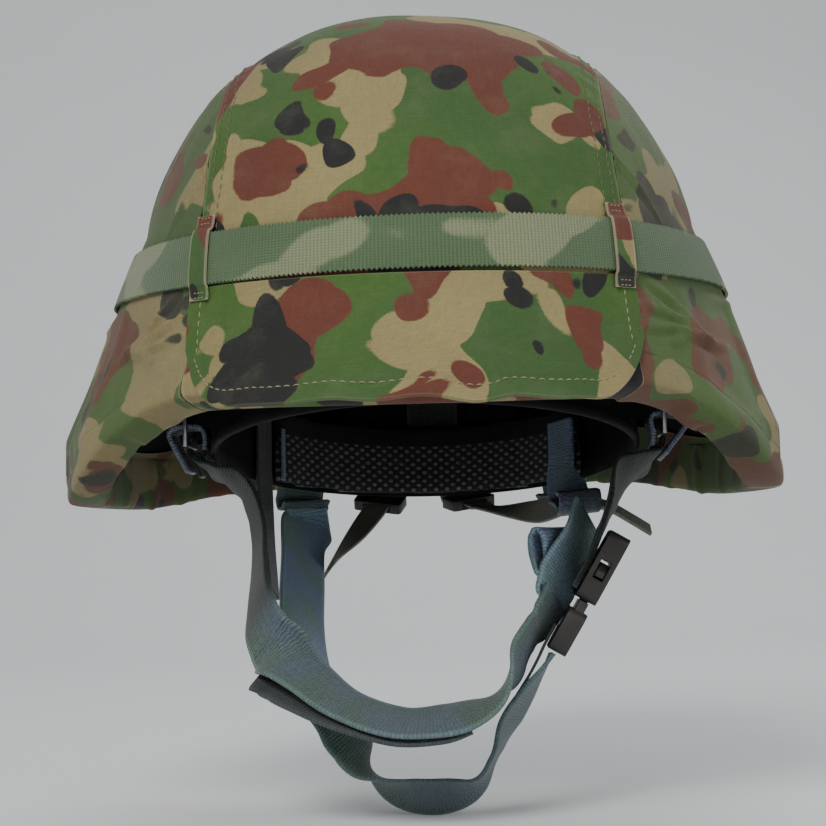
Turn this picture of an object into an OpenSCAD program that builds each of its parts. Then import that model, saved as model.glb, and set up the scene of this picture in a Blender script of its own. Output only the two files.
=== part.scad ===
// Covered combat helmet with chin harness. Millimetres.
// +Z up, the brow faces -Y, +X is the wearer's left. The origin is the middle of the headband.

/* [Part] */
// Name of the part to draw, or all

/* [Shell] */
// Half width of the dome
dome_half_w = 97.5; // [90:0.5:110]
// Half length of the dome to the brow
dome_front = 124; // [110:1:135]
// Half length of the dome to the nape
dome_rear = 133; // [120:1:145]
// Height of the crown over the origin
crown_z = 139.5; // [130:0.5:150]
// Height at which the dome is widest
waist_z = 30; // [20:1:40]
// Fullness of the dome seen from the front
dome_power = 2.23; // [2:0.01:3]
// Fullness of the dome seen from above
plan_power = 2.2; // [2:0.05:3]
// How far the ear bells stand out
ear_flare = 25.5; // [0:0.5:35]
// Height at which the ear bells begin
flare_z = 62; // [50:1:80]
// How far the brow peak stands out
peak_out = 14; // [0:1:20]
// How far the nape stands out
nape_out = 7; // [0:1:15]
// Wall of the shell
shell_t = 8; // [6:0.5:10]
// Rim height at the brow
rim_brow = 3.5; // [-5:0.5:10]
// Rim height at the ears
rim_ear = -27; // [-35:1:-15]
// Rim height at the nape
rim_nape = -18; // [-30:1:0]

/* [Cover] */
// Thickness of the cover cloth
cloth_t = 0.8; // [0.5:0.1:1.5]
// Gap between the shell and the cover
cloth_gap = 0.8; // [0.6:0.1:1.5]
// Half width of the centre panel on the crown
panel_half_w = 62; // [50:1:75]
// Extra half width of the centre panel at the rim
panel_spread = 10; // [0:1:15]
// How far the cover is turned in behind the rim
turn_in = 22; // [12:1:30]
// Height of the middle of the elastic band
band_z = 46; // [35:1:60]
// Width of the elastic band
band_w = 16; // [12:1:25]
// Lowest point of the brow flap
flap_low = -3.5; // [-6:0.5:0]

/* [Liner] */
// Half width of the headband
ring_x = 74; // [70:1:80]
// Half length of the headband
ring_y = 98; // [90:1:105]
// Height of the headband
ring_h = 28; // [20:1:40]
// Wall of the headband
ring_t = 2.4; // [1.5:0.1:4]
// How far the headband slopes to the nape
ring_tilt = 7.3; // [0:0.1:12]
// Height of the crossing of the crown straps
crossing_z = 96; // [85:1:110]
// Width of the crown straps
crown_strap_w = 20; // [12:1:30]

/* [Harness] */
// Width of the main webbing
web_w = 22; // [16:1:26]
// Thickness of the webbing
web_t = 1.6; // [1:0.1:2.5]
// Width of the nape straps
nape_w = 10; // [6:1:14]
// Distance of the pivot pins from the middle
pin_x = 85; // [75:1:95]
// Height of the pivot pins
pin_z = 11; // [5:1:20]
// Diameter of the pivot pins
pin_d = 6; // [4:0.5:8]
// Running clearance all round on the pins
pin_gap = 0.08; // [0.03:0.01:0.1]
// Margin of the side release buckle on each side of the webbing
buckle_margin = 2.75; // [2.5:0.05:5]
// Thickness of the side release buckle
buckle_t = 7.5; // [7:0.5:12]
// Length of the buckle from end to end
buckle_len = 45; // [40:1:55]

/* [Hidden] */
around = 60;
step = 360 / around;
drop = 0.9;
fine = 24;
small = 12;
dome_h = crown_z - waist_z;
tuck = 4.6;
trim_t = 1.2;
trim_fit = 0.3;
trim_h = 4.5;
trim_out = trim_fit + trim_t;
side_ease = 0.35;
cover_in = cloth_gap;
cover_out = cloth_gap + cloth_t;
flap_in = cover_out + 0.5;
flap_out = flap_in + cloth_t;
band_t = 1.2;
band_in = cover_out + side_ease + 0.8;
band_out = band_in + band_t;
loop_in = band_out + 0.5;
loop_out = loop_in + cloth_t;
screw_d = 5;
screw_head = 11;
screw_angles = [-157, -90, -28, 28, 90, 157];
screw_z = [26, 30, 34, 34, 30, 26];
nut_d = 10;
nut_h = 3;
hang_t = 1.6;
seat = 1.2;
buckle_w = web_w + 2 * buckle_margin;

function unit(v) = v / max(norm(v), 0.000001);
function flat_step(a, b, x) = let (u = min(max((x - a) / (b - a), 0), 1)) u * u * (3 - 2 * u);
function rim(a) = let (s = abs(a > 180 ? a - 360 : a))
    rim_brow + (rim_ear - rim_brow) * flat_step(34, 74, s) + (rim_nape - rim_ear) * flat_step(112, 150, s);
function bell(a) = let (s = abs(a > 180 ? a - 360 : a)) exp(-pow(abs(s - 98) / 62, 4));
function row_z(f) = f <= 90 ? waist_z + dome_h * pow(cos(f), 2 / dome_power) : waist_z - drop * (f - 90);
function row_s(f) = f < 90 ? pow(sin(max(f, 0.01)), 2 / dome_power) : 1;
function row_of(z) = z >= waist_z ? acos(pow(min((z - waist_z) / dome_h, 1), dome_power / 2))
    : 90 + (waist_z - z) / drop;
function flare_at(z) = ear_flare * pow(max(flare_z - z, 0) / (flare_z + 8), 1.1) - tuck * pow(max(-8 - z,
    0) / 20, 1.5);
function wide(a, z, s) = dome_half_w * s + min(flare_at(z), ear_flare) * bell(a);
function long_front(z, s) = dome_front * s + peak_out * pow(max(34 - z, 0) / 34, 1.5);
function long_rear(z, s) = dome_rear * s + nape_out * pow(max(12 - z, 0) / 30, 1.5);
function reach(a, z, s) = let (
    p = pow(abs(sin(a)) / wide(a, z, s), plan_power),
    q = pow(abs(cos(a)) / (cos(a) > 0 ? long_front(z, s) : long_rear(z, s)), plan_power))
    pow(p + q, -1 / plan_power);
function skin(a, f) = let (z = row_z(f), s = row_s(f), r = reach(a, z, s)) [r * sin(a), -r * cos(a), z];
function outward(a, f) = let (g = max(f, 1.5))
    unit(cross(skin(a, g + 0.7) - skin(a, g - 0.7), skin(a + 0.7, g) - skin(a - 0.7, g)));
function on(a, z, o) = let (f = row_of(z)) skin(a, f) + o * outward(a, f);

// The same dome, met by a ray in a plane of constant x.
function over(x, y, z) = let (
    c = min(max((z - waist_z) / dome_h, 0), 0.99999),
    s = pow(1 - pow(c, dome_power), 1 / dome_power),
    a = atan2(x, -y))
    pow(abs(x) / wide(a, z, s), plan_power) + pow(abs(y) / (y < 0 ? long_front(z, s) : long_rear(z, s)),
        plan_power) - 1;
function seam_x(z) = panel_half_w + panel_spread * min(max((100 - z) / 100, 0), 1.15);
function meet(k, t, lo, hi, n) = let (
    r = (lo + hi) / 2,
    z = waist_z + r * sin(t))
    n == 0 ? [k * seam_x(z), -r * cos(t), z] :
    (z > crown_z - 0.01 || over(k * seam_x(z), -r * cos(t), z) > 0) ? meet(k, t, lo, r, n - 1) : meet(k, t,
        r, hi, n - 1);
function panel_point(k, t) = meet(k, t, 50, 190, 17);
function panel_normal(k, t) = unit(cross(
    panel_point(k, t + 0.8) - panel_point(k, t - 0.8),
    panel_point(k + 0.02, t) - panel_point(k - 0.02, t)));
function on_panel(k, t, o) = panel_point(k, t) - o * panel_normal(k, t);
function seam_a(k, z, lo, hi, rear, n) = let (b = (lo + hi) / 2, a = rear ? 180 - b : b)
    n == 0 ? (k < 0 ? -a : a) :
    reach(a, z, row_s(row_of(z))) * sin(a) < abs(k) * seam_x(z) ? seam_a(k, z, b, hi, rear, n - 1) :
    seam_a(k, z, lo, b, rear, n - 1);
function low_panel(k, z, o, rear = false) = on(seam_a(k, z, 0, 70, rear, 15), z, o);
function seam_row(a, lo, hi, n) = let (z = (lo + hi) / 2, s = row_s(row_of(z)))
    n == 0 ? z : (reach(a, z, s) * abs(sin(a)) < seam_x(z)) ? seam_row(a, lo, z, n - 1) : seam_row(a, z,
        hi, n - 1);

// A sheet between two grids of points, closed along its stations if wanted.
module sheet(og, ig, round = false) {
    n = len(og);
    k = len(og[0]);
    m = n * k;
    pts = concat([for (r = og) each r], [for (r = ig) each r]);
    last = round ? n - 1 : n - 2;
    tops = [for (i = [0:last], j = [0:k - 2]) let (p = i * k + j, q = ((i + 1) % n) * k + j)
        each [[p, q, q + 1], [p, q + 1, p + 1]]];
    unders = [for (i = [0:last], j = [0:k - 2]) let (p = m + i * k + j, q = m + ((i + 1) % n) * k + j)
        each [[p, q + 1, q], [p, p + 1, q + 1]]];
    heads = [for (i = [0:last]) let (p = i * k, q = ((i + 1) % n) * k)
        each [[p, p + m, q + m], [p, q + m, q]]];
    feet = [for (i = [0:last]) let (p = i * k + k - 1, q = ((i + 1) % n) * k + k - 1)
        each [[p, q, q + m], [p, q + m, p + m]]];
    starts = round ? [] : [for (j = [0:k - 2]) each [[j, j + 1, j + 1 + m], [j, j + 1 + m, j + m]]];
    b = (n - 1) * k;
    ends = round ? [] : [for (j = [0:k - 2]) each [[b + j, b + j + m, b + j + 1 + m],
        [b + j, b + j + 1 + m, b + j + 1]]];
    polyhedron(points = pts, faces = concat(tops, unders, heads, feet, starts, ends), convexity = 8);
}

function bend(p, i, u) = let (
    n = len(p) - 1,
    a = p[max(i - 1, 0)], b = p[i], c = p[min(i + 1, n)], d = p[min(i + 2, n)])
    0.5 * (2 * b + (c - a) * u + (2 * a - 5 * b + 4 * c - d) * u * u + (3 * b - a - 3 * c + d) * u * u * u);
function smooth(p, k) = concat([for (i = [0:len(p) - 2], j = [0:k - 1]) bend(p, i, j / k)], [p[len(p) - 1]]);

// Webbing through the points, its width lying along the directions.
module webbing(points, across, w, t, k = 4) {
    c = smooth(points, k);
    v = smooth(across, k);
    n = len(c) - 1;
    frame = [for (i = [0:n]) let (
        ahead = unit(c[min(i + 1, n)] - c[max(i - 1, 0)]),
        side = unit(v[i] - (v[i] * ahead) * ahead))
        [side, cross(ahead, side)]];
    og = [for (i = [0:n]) [c[i] + frame[i][0] * w / 2 + frame[i][1] * t / 2,
        c[i] - frame[i][0] * w / 2 + frame[i][1] * t / 2]];
    ig = [for (i = [0:n]) [c[i] + frame[i][0] * w / 2 - frame[i][1] * t / 2,
        c[i] - frame[i][0] * w / 2 - frame[i][1] * t / 2]];
    sheet(og, ig);
}

module along(p, d) {
    u = unit(d);
    translate(p) rotate([0, acos(u[2]), atan2(u[1], u[0])]) children();
}

// Shell and its rim
shell_rows = [7, 14, 21, 29, 37, 45, 54, 63, 72, 80];
function shell_row(a, j) = j < len(shell_rows) ? shell_rows[j] :
    j == len(shell_rows) + 4 ? row_of(rim(a)) :
    let (low = row_of(rim(a) + trim_h), u = (j - len(shell_rows) + 1) / 4) 80 + (low - 80) * u;
module shell_body() {
    n = around;
    k = len(shell_rows) + 5;
    og = [for (i = [0:n - 1], j = [0:k - 1]) let (f = shell_row(i * step, j)) skin(i * step, f)];
    ig = [for (i = [0:n - 1], j = [0:k - 1]) let (f = shell_row(i * step, j))
        skin(i * step, f) - shell_t * outward(i * step, f)];
    m = n * k;
    pts = concat(og, ig, [[0, 0, crown_z]], [[0, 0, crown_z - shell_t]]);
    sides = [for (i = [0:n - 1], j = [0:k - 2]) let (p = i * k + j, q = ((i + 1) % n) * k + j)
        each [[p, q, q + 1], [p, q + 1, p + 1], [m + p, m + q + 1, m + q], [m + p, m + p + 1, m + q + 1]]];
    feet = [for (i = [0:n - 1]) let (p = i * k + k - 1, q = ((i + 1) % n) * k + k - 1)
        each [[p, q, q + m], [p, q + m, p + m]]];
    caps = [for (i = [0:n - 1]) let (p = i * k, q = ((i + 1) % n) * k)
        each [[2 * m, q, p], [2 * m + 1, m + p, m + q]]];
    polyhedron(points = pts, faces = concat(sides, feet, caps), convexity = 8);
}
module at_screw(i) {
    a = screw_angles[i];
    along(on(a, screw_z[i], 0), outward(a, row_of(screw_z[i]))) children();
}
module ballistic_shell() {
    color([0.25, 0.28, 0.22]) difference() {
        shell_body();
        for (i = [0:5]) at_screw(i) {
            translate([0, 0, -shell_t - 4]) cylinder(d = screw_d + 0.6, h = shell_t + 8, $fn = small);
            translate([0, 0, -3.3]) cylinder(d1 = screw_d + 0.4, d2 = screw_head + 0.6 + 1.2, h = 3.9,
                $fn = small);
        }
    }
}
module rim_trim() {
    ring = [[trim_h, trim_fit], [trim_h, trim_fit + trim_t], [-trim_t, trim_fit + trim_t],
        [-trim_t, -shell_t - trim_fit - trim_t], [trim_h, -shell_t - trim_fit - trim_t],
            [trim_h, -shell_t - trim_fit],
        [-trim_fit, -shell_t - trim_fit], [-trim_fit, trim_fit]];
    n = around;
    k = len(ring);
    pts = [for (i = [0:n - 1]) for (p = ring) on(i * step, rim(i * step) + p[0], p[1])];
    faces = [for (i = [0:n - 1], j = [0:k - 1]) let (
        p = i * k, q = ((i + 1) % n) * k, h = (j + 1) % k)
        each [[p + j, q + j, q + h], [p + j, q + h, p + h]]];
    color([0.06, 0.06, 0.06]) polyhedron(points = pts, faces = faces, convexity = 8);
}

// Cover: how the cloth lies at the rim, as heights over the rim and offsets from the shell
rim_over = [[9, cover_out], [5.5, trim_out + 1.3], [-1, trim_out + 1.4], [-3, 0.6], [-3, -shell_t - 0.6],
    [-1, -shell_t - trim_out - 1.5], [6, -shell_t - trim_out - 1.3], [turn_in, -shell_t - cover_out]];
rim_under = [[9, cover_in], [5.5, trim_out + 0.6], [-1, trim_out + 0.6], [-2.1, 0.3], [-2.1, -shell_t - 0.3],
    [-1, -shell_t - trim_out - 0.6], [6, -shell_t - trim_out - 0.5], [turn_in, -shell_t - cover_in]];

function fan_of(y, z) = atan2(z - waist_z, -y);
panel_low = [17, 24, 32, 41];
module cover_centre_panel() {
    across = 10;
    rows = 21;
    t0 = fan_of(-dome_front, panel_low[3]);
    t1 = 180 - fan_of(-dome_rear, panel_low[3]);
    last = len(rim_over) - 1;
    ks = [for (i = [0:across]) -0.994 + 1.988 * i / across];
    og = [for (k = ks) concat(
        [for (j = [last:-1:0]) low_panel(k, rim_brow + rim_over[j][0], rim_over[j][1])],
        [for (z = panel_low) low_panel(k, z, cover_out)],
        [for (j = [1:rows - 1]) on_panel(k, t0 + (t1 - t0) * j / rows, cover_out)],
        [for (j = [3:-1:0]) low_panel(k, panel_low[j], cover_out, true)],
        [for (j = [0:last]) low_panel(k, rim_nape + rim_over[j][0], rim_over[j][1], true)])];
    ig = [for (k = ks) concat(
        [for (j = [last:-1:0]) low_panel(k, rim_brow + rim_under[j][0], rim_under[j][1])],
        [for (z = panel_low) low_panel(k, z, cover_in)],
        [for (j = [1:rows - 1]) on_panel(k, t0 + (t1 - t0) * j / rows, cover_in)],
        [for (j = [3:-1:0]) low_panel(k, panel_low[j], cover_in, true)],
        [for (j = [0:last]) low_panel(k, rim_nape + rim_under[j][0], rim_under[j][1], true)])];
    color([0.35, 0.47, 0.24]) sheet(ig, og);
}
function clear_of_seam(a, z) = reach(a, z, 1) * sin(a) - seam_x(z) > 0.7;
function corner(lo, hi, n) = let (a = (lo + hi) / 2)
    n == 0 ? a :
    clear_of_seam(a, rim(a)) && clear_of_seam(a, rim(a) + 17) ? corner(lo, a, n - 1) : corner(a, hi, n - 1);
function spread(u) = 0.45 * u + 0.275 * (1 - cos(180 * u));
function side_point(a, top, r, j, o) = on(a, j < 10 ? top + (r + 16 - top) * j / 9 : r + 12,
    o + side_ease * (2 - min(j, 9) / 9));
module cover_side(s) {
    stations = 17;
    a0 = corner(20, 60, 14);
    span = corner(160, 120, 14) - a0;
    og = [for (i = [0:stations])
        let (a = a0 + span * spread(i / stations), r = rim(a), top = seam_row(a, r + 17, crown_z, 14)) concat(
        [for (j = [0:10]) side_point(s * a, top, r, j, cover_out)],
        [for (p = rim_over) on(s * a, r + p[0], p[1] + (p[0] > 8.5 && p[1] > 0 ? side_ease : 0))])];
    ig = [for (i = [0:stations])
        let (a = a0 + span * spread(i / stations), r = rim(a), top = seam_row(a, r + 17, crown_z, 14)) concat(
        [for (j = [0:10]) side_point(s * a, top, r, j, cover_in)],
        [for (p = rim_under) on(s * a, r + p[0], p[1] + (p[0] > 8.5 && p[1] > 0 ? side_ease : 0))])];
    if (s > 0) sheet(og, ig);
    if (s < 0) sheet(ig, og);
}
module cover_side_panel_left() {
    color([0.45, 0.4, 0.25]) cover_side(1);
}
module cover_side_panel_right() {
    color([0.45, 0.4, 0.25]) cover_side(-1);
}
function flap_edge(k) = flap_low + 22 * pow(max(abs(k) - 0.72, 0) / 0.28, 2.2);
function flap_rise(z) = 2.3 * max(16 - z, 0) / 16;
module brow_flap() {
    across = 16;
    rows = 5;
    top = band_z - band_w / 2 - 1;
    og = [for (i = [0:across]) let (k = -1 + 2 * i / across)
        [for (j = [0:rows]) let (z = top + (flap_edge(k) - top) * j / rows) low_panel(k, z,
            flap_out + flap_rise(z))]];
    ig = [for (i = [0:across]) let (k = -1 + 2 * i / across)
        [for (j = [0:rows]) let (z = top + (flap_edge(k) - top) * j / rows) low_panel(k, z,
            flap_in + flap_rise(z))]];
    color([0.55, 0.28, 0.2]) sheet(og, ig);
}
module elastic_band() {
    og = [for (i = [0:around - 1]) let (a = i * step)
        [for (j = [0, 1]) on(a, band_z + band_w / 2 - band_w * j, band_out)]];
    ig = [for (i = [0:around - 1]) let (a = i * step)
        [for (j = [0, 1]) on(a, band_z + band_w / 2 - band_w * j, band_in)]];
    color([0.35, 0.45, 0.34]) sheet(og, ig, true);
}
loop_angles = [33, 147];
loop_w = 7;
module band_loop(a) {
    half = loop_w / 2 / 1.9;
    foot = abs(a) < 90 ? flap_out + 0.5 : band_in;
    rise = [[band_w / 2 + 5.5, band_in], [band_w / 2 + 1.5, band_in + 0.1], [band_w / 2 + 0.4, loop_in],
        [0, loop_in],
        [-band_w / 2 - 0.4, loop_in], [-band_w / 2 - 1.5, foot + 0.1], [-band_w / 2 - 5.5, foot]];
    og = [for (b = [a - half, a + half]) [for (p = rise) on(b, band_z + p[0], p[1] + cloth_t)]];
    ig = [for (b = [a - half, a + half]) [for (p = rise) on(b, band_z + p[0], p[1])]];
    sheet(og, ig);
}
module band_loops() {
    color([0.5, 0.48, 0.32]) for (a = loop_angles) {
        band_loop(a);
        band_loop(-a);
    }
}

// Fixings
module shell_screws() {
    color([0.3, 0.3, 0.3]) for (i = [0:5]) at_screw(i) {
        translate([0, 0, -shell_t - seat - hang_t - nut_h - 0.7]) cylinder(d = screw_d, h = shell_t + 4,
            $fn = small);
        translate([0, 0, -3.2]) cylinder(d1 = screw_d, d2 = screw_head, h = 3, $fn = small);
    }
}
module screw_nuts() {
    color([0.3, 0.3, 0.3]) for (i = [0:5]) at_screw(i)
        translate([0, 0, -shell_t - seat - hang_t - 0.2 - nut_h]) difference() {
            cylinder(d = nut_d, h = nut_h, $fn = 6);
            translate([0, 0, -1]) cylinder(d = screw_d + 0.1, h = nut_h + 2, $fn = small);
        }
}

// Headband
module tilted() {
    rotate([-ring_tilt, 0, 0]) children();
}
module oval(o, h) {
    linear_extrude(height = h, center = true) polygon([for (i = [0:59]) [(ring_x + o) * sin(i * 6),
        (ring_y + o) * cos(i * 6)]]);
}
function band_at(a, o, z) = let (x = (ring_x + o) * sin(a), y = -(ring_y + o) * cos(a))
    [x, y * cos(ring_tilt) + z * sin(ring_tilt), z * cos(ring_tilt) - y * sin(ring_tilt)];
function band_side(a) = unit([ring_x * cos(a), ring_y * sin(a) * cos(ring_tilt),
    -ring_y * sin(a) * sin(ring_tilt)]);
module headband() {
    color([0.08, 0.08, 0.08]) tilted() difference() {
        oval(ring_t, ring_h);
        oval(0, ring_h + 2);
    }
}
module band_pad(a0, a1, n, thick, tall) {
    og = [for (i = [0:n]) let (a = a0 + (a1 - a0) * i / n, e = min(i, n - i) < 1 ? 0.45 : 1)
        [for (j = [0:4]) band_at(a, -0.1 - thick * e * (j == 0 || j == 4 ? 0.45 : 1),
            -tall / 2 + tall * j / 4)]];
    ig = [for (i = [0:n]) let (a = a0 + (a1 - a0) * i / n)
        [for (j = [0:4]) band_at(a, -0.1, -tall / 2 + tall * j / 4)]];
    sheet(og, ig);
}
module headband_pad_rear() {
    color([0.12, 0.12, 0.13]) band_pad(127, 233, 16, 5, ring_h + 1);
}
module headband_pad_front() {
    color([0.2, 0.15, 0.1]) band_pad(-60, 60, 18, 4, ring_h + 1);
}

// Hangers from the shell to the headband
module hanger(i) {
    a = screw_angles[i];
    b = atan2(ring_y * sin(a), ring_x * cos(a));
    top = on(a, screw_z[i] + 7, -shell_t - seat - hang_t / 2);
    hub = on(a, screw_z[i] - 6, -shell_t - seat - hang_t / 2);
    low = band_at(b, ring_t + 0.8 + hang_t / 2, 12);
    foot = band_at(b, ring_t + 0.8 + hang_t / 2, 3);
    side = unit(cross(outward(a, row_of(screw_z[i])), [0, 0, 1]));
    end = band_side(b) * (band_side(b) * side < 0 ? -1 : 1);
    difference() {
        webbing([top, hub, hub * 0.45 + low * 0.55 + [0, 0, 1], low, foot],
            [side, side, side + end, end, end], 14, hang_t, 3);
        at_screw(i) translate([0, 0, -shell_t - 8]) cylinder(d = screw_d + 0.2, h = 12, $fn = small);
    }
}
module suspension_hangers() {
    color([0.1, 0.1, 0.1]) for (i = [0, 2, 3, 5]) hanger(i);
}
function crown_point(a, u, fall, lift) = let (x = u * ring_x * sin(a), y = -u * ring_y * cos(a))
    [x, y, crossing_z + lift - fall * (x * x + y * y)];
function crown_path(a, lift) = [band_at(a, ring_t + 0.3 + hang_t / 2, 4),
    band_at(a, ring_t + 0.3 + hang_t / 2, 15),
    band_at(a, -6, 44), crown_point(a, 0.62, 0.0049, lift), crown_point(a, 0.3, 0.0029, lift),
        [0, 0, crossing_z + lift]];
module crown_strap(a, lift) {
    one = crown_path(a, lift);
    two = crown_path(a + 180, lift);
    p = concat(one, [for (i = [4:-1:0]) two[i]]);
    side = unit([cos(a) * ring_y, sin(a) * ring_x, 0]);
    end = band_side(a);
    webbing(p, [end, end, side + end, side, side, side, side, side, side + end, end, end], crown_strap_w,
        1.2, 3);
}
module crown_strap_cross_left() {
    color([0.13, 0.13, 0.12]) crown_strap(50, 2.2);
}
module crown_strap_cross_right() {
    color([0.13, 0.13, 0.12]) crown_strap(-50, 4.4);
}
module crown_strap_middle() {
    color([0.13, 0.13, 0.12]) crown_strap(0, 0);
}
module crown_patch() {
    color([0.2, 0.15, 0.1]) translate([0, 0, crossing_z + 5.3]) cylinder(d = 44, h = 1.6, $fn = fine);
}

// Side brackets with the pivot pins of the harness
function thick_line(p, t) = let (n = len(p) - 1) concat(
    [for (i = [0:n]) let (d = p[min(i + 1, n)] - p[max(i - 1, 0)], u = d / norm(d)) p[i] + [-u[1],
        u[0]] * t / 2],
    [for (i = [n:-1:0]) let (d = p[min(i + 1, n)] - p[max(i - 1, 0)], u = d / norm(d)) p[i] - [-u[1],
        u[0]] * t / 2]);
module side_bracket() {
    z0 = screw_z[4];
    up = on(90, z0 + 8, -shell_t - seat - hang_t / 2);
    dn = on(90, z0 - 7, -shell_t - seat - hang_t / 2);
    line = [[up[0], up[2]], [dn[0], dn[2]], [pin_x + 6.5, dn[2] - 3], [pin_x + 4, pin_z + 4],
        [pin_x + 4, pin_z - 8]];
    difference() {
        rotate([90, 0, 0]) linear_extrude(height = 16, center = true) polygon(thick_line(line, hang_t));
        at_screw(4) translate([0, 0, -shell_t - 8]) cylinder(d = screw_d + 0.2, h = 12, $fn = small);
    }
    translate([pin_x - 4, 0, pin_z]) rotate([0, 90, 0]) cylinder(d = pin_d, h = 7.5, $fn = fine);
    translate([pin_x - 5.5, 0, pin_z]) rotate([0, 90, 0]) cylinder(d = pin_d + 5, h = 1.5, $fn = fine);
}
module side_brackets() {
    color([0.2, 0.2, 0.2]) {
        side_bracket();
        mirror([1, 0, 0]) side_bracket();
    }
}

// Harness: plates on the pins
plate_t = 1.6;
module side_plate(low) {
    translate([pin_x - plate_t / 2, 0, pin_z]) rotate([90, 0, 90]) difference() {
        union() {
            cylinder(d = 18, h = plate_t, $fn = fine);
            linear_extrude(height = plate_t) polygon([[-8.5, 2], [8.5, 2], [14.5, -9], [14.5, -20],
                [-14.5, -20], [-14.5, -9]]);
        }
        translate([0, 0, -1]) cylinder(d = pin_d + 2 * pin_gap, h = plate_t + 2, $fn = fine);
        translate([-12, -14.5, -1]) cube([24, 3.6, plate_t + 2]);
    }
    top = [pin_x, 0, pin_z - 20.4];
    color([0.16, 0.13, 0.12]) webbing([top, top * 0.5 + low * 0.5 + [0.4, 0, 0], low], [[0, 1, 0],
        [0, 1, 0], [0, 1, 0]], 13, 1.4, 3);
}
module side_plate_left() {
    color([0.25, 0.26, 0.27]) side_plate([pin_x - 1.8, 0, pin_z - 26.4]);
}
module side_plate_right() {
    color([0.25, 0.26, 0.27]) mirror([1, 0, 0]) side_plate([pin_x - 4.2, 0, pin_z - 30.6]);
}
slot_z = pin_z - 12.7;
module hanger_loop_right() {
    p = [[-78.6, -0.1, -10.4], [-78.3, 0, -6], [-79.2, 0, slot_z - 1.2], [-81.5, 0, slot_z], [-88, 0, slot_z],
        [-91.2, 0, slot_z - 2.2], [-89.7, 0, -8.5], [-87.1, 0, -13.5], [-84.8, 0, -17.9]];
    color([0.22, 0.3, 0.29]) webbing(p, [for (q = p) [0, 1, 0]], web_w, web_t, 3);
}
module hanger_loop_left() {
    p = [[80.7, -0.2, -13.4], [81.2, 0, -8.5], [80.4, 0, slot_z - 2], [82.3, 0, slot_z], [89, 0, slot_z],
        [94, 0, slot_z - 2], [91.6, 0, -8], [87.4, -0.5, -13.2], [84.9, -1, -16.6]];
    color([0.22, 0.3, 0.29]) webbing(p, [for (q = p) [0, 1, 0]], web_w, web_t, 3);
}
module front_strap_right() {
    p = [[-78.62, -0.15, -10.9], [-79, -0.9, -16], [-72.6, -7, -20.2], [-65.8, -12, -24.2],
        [-60.8, -18, -31.4], [-58.5, -22, -41],
        [-58.2, -27, -51.4], [-57.8, -33, -63.4], [-57.4, -39.5, -73], [-57.4, -44, -79.2]];
    v = [[0, -1, 0], [0, -1, 0], [0.12, -0.95, 0.15], [0.2, -0.93, 0.3], [0.25, -0.93, 0.3], [0.28, -0.92, 0.3],
        [0.3, -0.9, 0.3], [0.4, -0.85, 0.35], [0.5, -0.75, 0.4], [0.6, -0.65, 0.45]];
    color([0.25, 0.36, 0.35]) webbing(p, v, web_w, web_t, 3);
}
module front_strap_left() {
    n = -buckle_t / 2 - 0.4 - web_t / 2;
    p = [[80.5, -0.3, -14.6], [80.1, -1.3, -18.4], [72.4, -10, -23], [66.2, -19, -27.6], [63.2, -31, -34],
        at_buckle(-2, 0, n - 2.4), at_buckle(10, 0, n - 0.4), at_buckle(23, 0, n)];
    v = [[0, -1, 0], [0, -0.98, 0.1], [0.05, -0.8, 0.45], [0.1, -0.45, 0.8], [0.1, -0.75, 0.6],
        [0, -1, 0], [0, -1, 0], [0, -1, 0]];
    color([0.2, 0.28, 0.28]) webbing(p, v, web_w, web_t, 4);
}

// Harness: buckle on its own axis, from its upper end
buckle_top = [66.5, -38, -44.5];
buckle_dir = unit([-22.6, 0, -38.1]);
buckle_face = cross(buckle_dir, [0, 1, 0]);
function at_buckle(u, y, n) = buckle_top + u * buckle_dir + [0, y, 0] + n * buckle_face;
module in_buckle() {
    d = buckle_dir;
    f = buckle_face;
    p = buckle_top;
    multmatrix([[d[0], 0, f[0], p[0]], [d[1], 1, f[1], p[1]], [d[2], 0, f[2], p[2]], [0, 0, 0, 1]]) children();
}
female_len = buckle_len * 0.56;
neck_at = female_len + 0.5;
bar_at = buckle_len - 7.5;
cavity_w = buckle_w - 5.6;
cavity_t = buckle_t - 3.6;
window_a = 10;
window_b = 17;
module rounded(x0, x1, w0, w1, t, r) {
    hull() {
        for (s = [-1, 1]) {
            translate([x0 + r, s * (w0 / 2 - r), 0]) cylinder(r = r, h = t, center = true, $fn = fine);
            translate([x1 - r, s * (w1 / 2 - r), 0]) cylinder(r = r, h = t, center = true, $fn = fine);
        }
    }
}
module buckle_female() {
    color([0.16, 0.14, 0.13]) in_buckle() difference() {
        rounded(0, female_len, buckle_w - 2, buckle_w, buckle_t, 3);
        translate([5, 0, 0]) cube([3, web_w + 1.4, buckle_t + 2], center = true);
        translate([(window_a + female_len + 1) / 2, 0, 0]) cube([female_len + 1 - window_a, cavity_w,
            cavity_t], center = true);
        translate([(window_a + window_b) / 2, 0, 0]) cube([window_b - window_a, buckle_w + 4, cavity_t],
            center = true);
    }
}
module buckle_male() {
    color([0.16, 0.14, 0.13]) in_buckle() difference() {
        union() {
            rounded(neck_at + 3.5, buckle_len, buckle_w, buckle_w - 3, buckle_t - 1, 3);
            translate([neck_at + 3.5, 0, 0]) cube([7, cavity_w + 2, cavity_t - 0.6], center = true);
            translate([(window_a + neck_at) / 2 + 1.5, 0, 0]) cube([neck_at - window_a + 1, 6,
                cavity_t - 1], center = true);
        }
        translate([bar_at + 2.2, 0, 0]) cube([3, web_w + 1.4, buckle_t + 2], center = true);
    }
}
latch_pivot = neck_at - 0.3;
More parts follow.
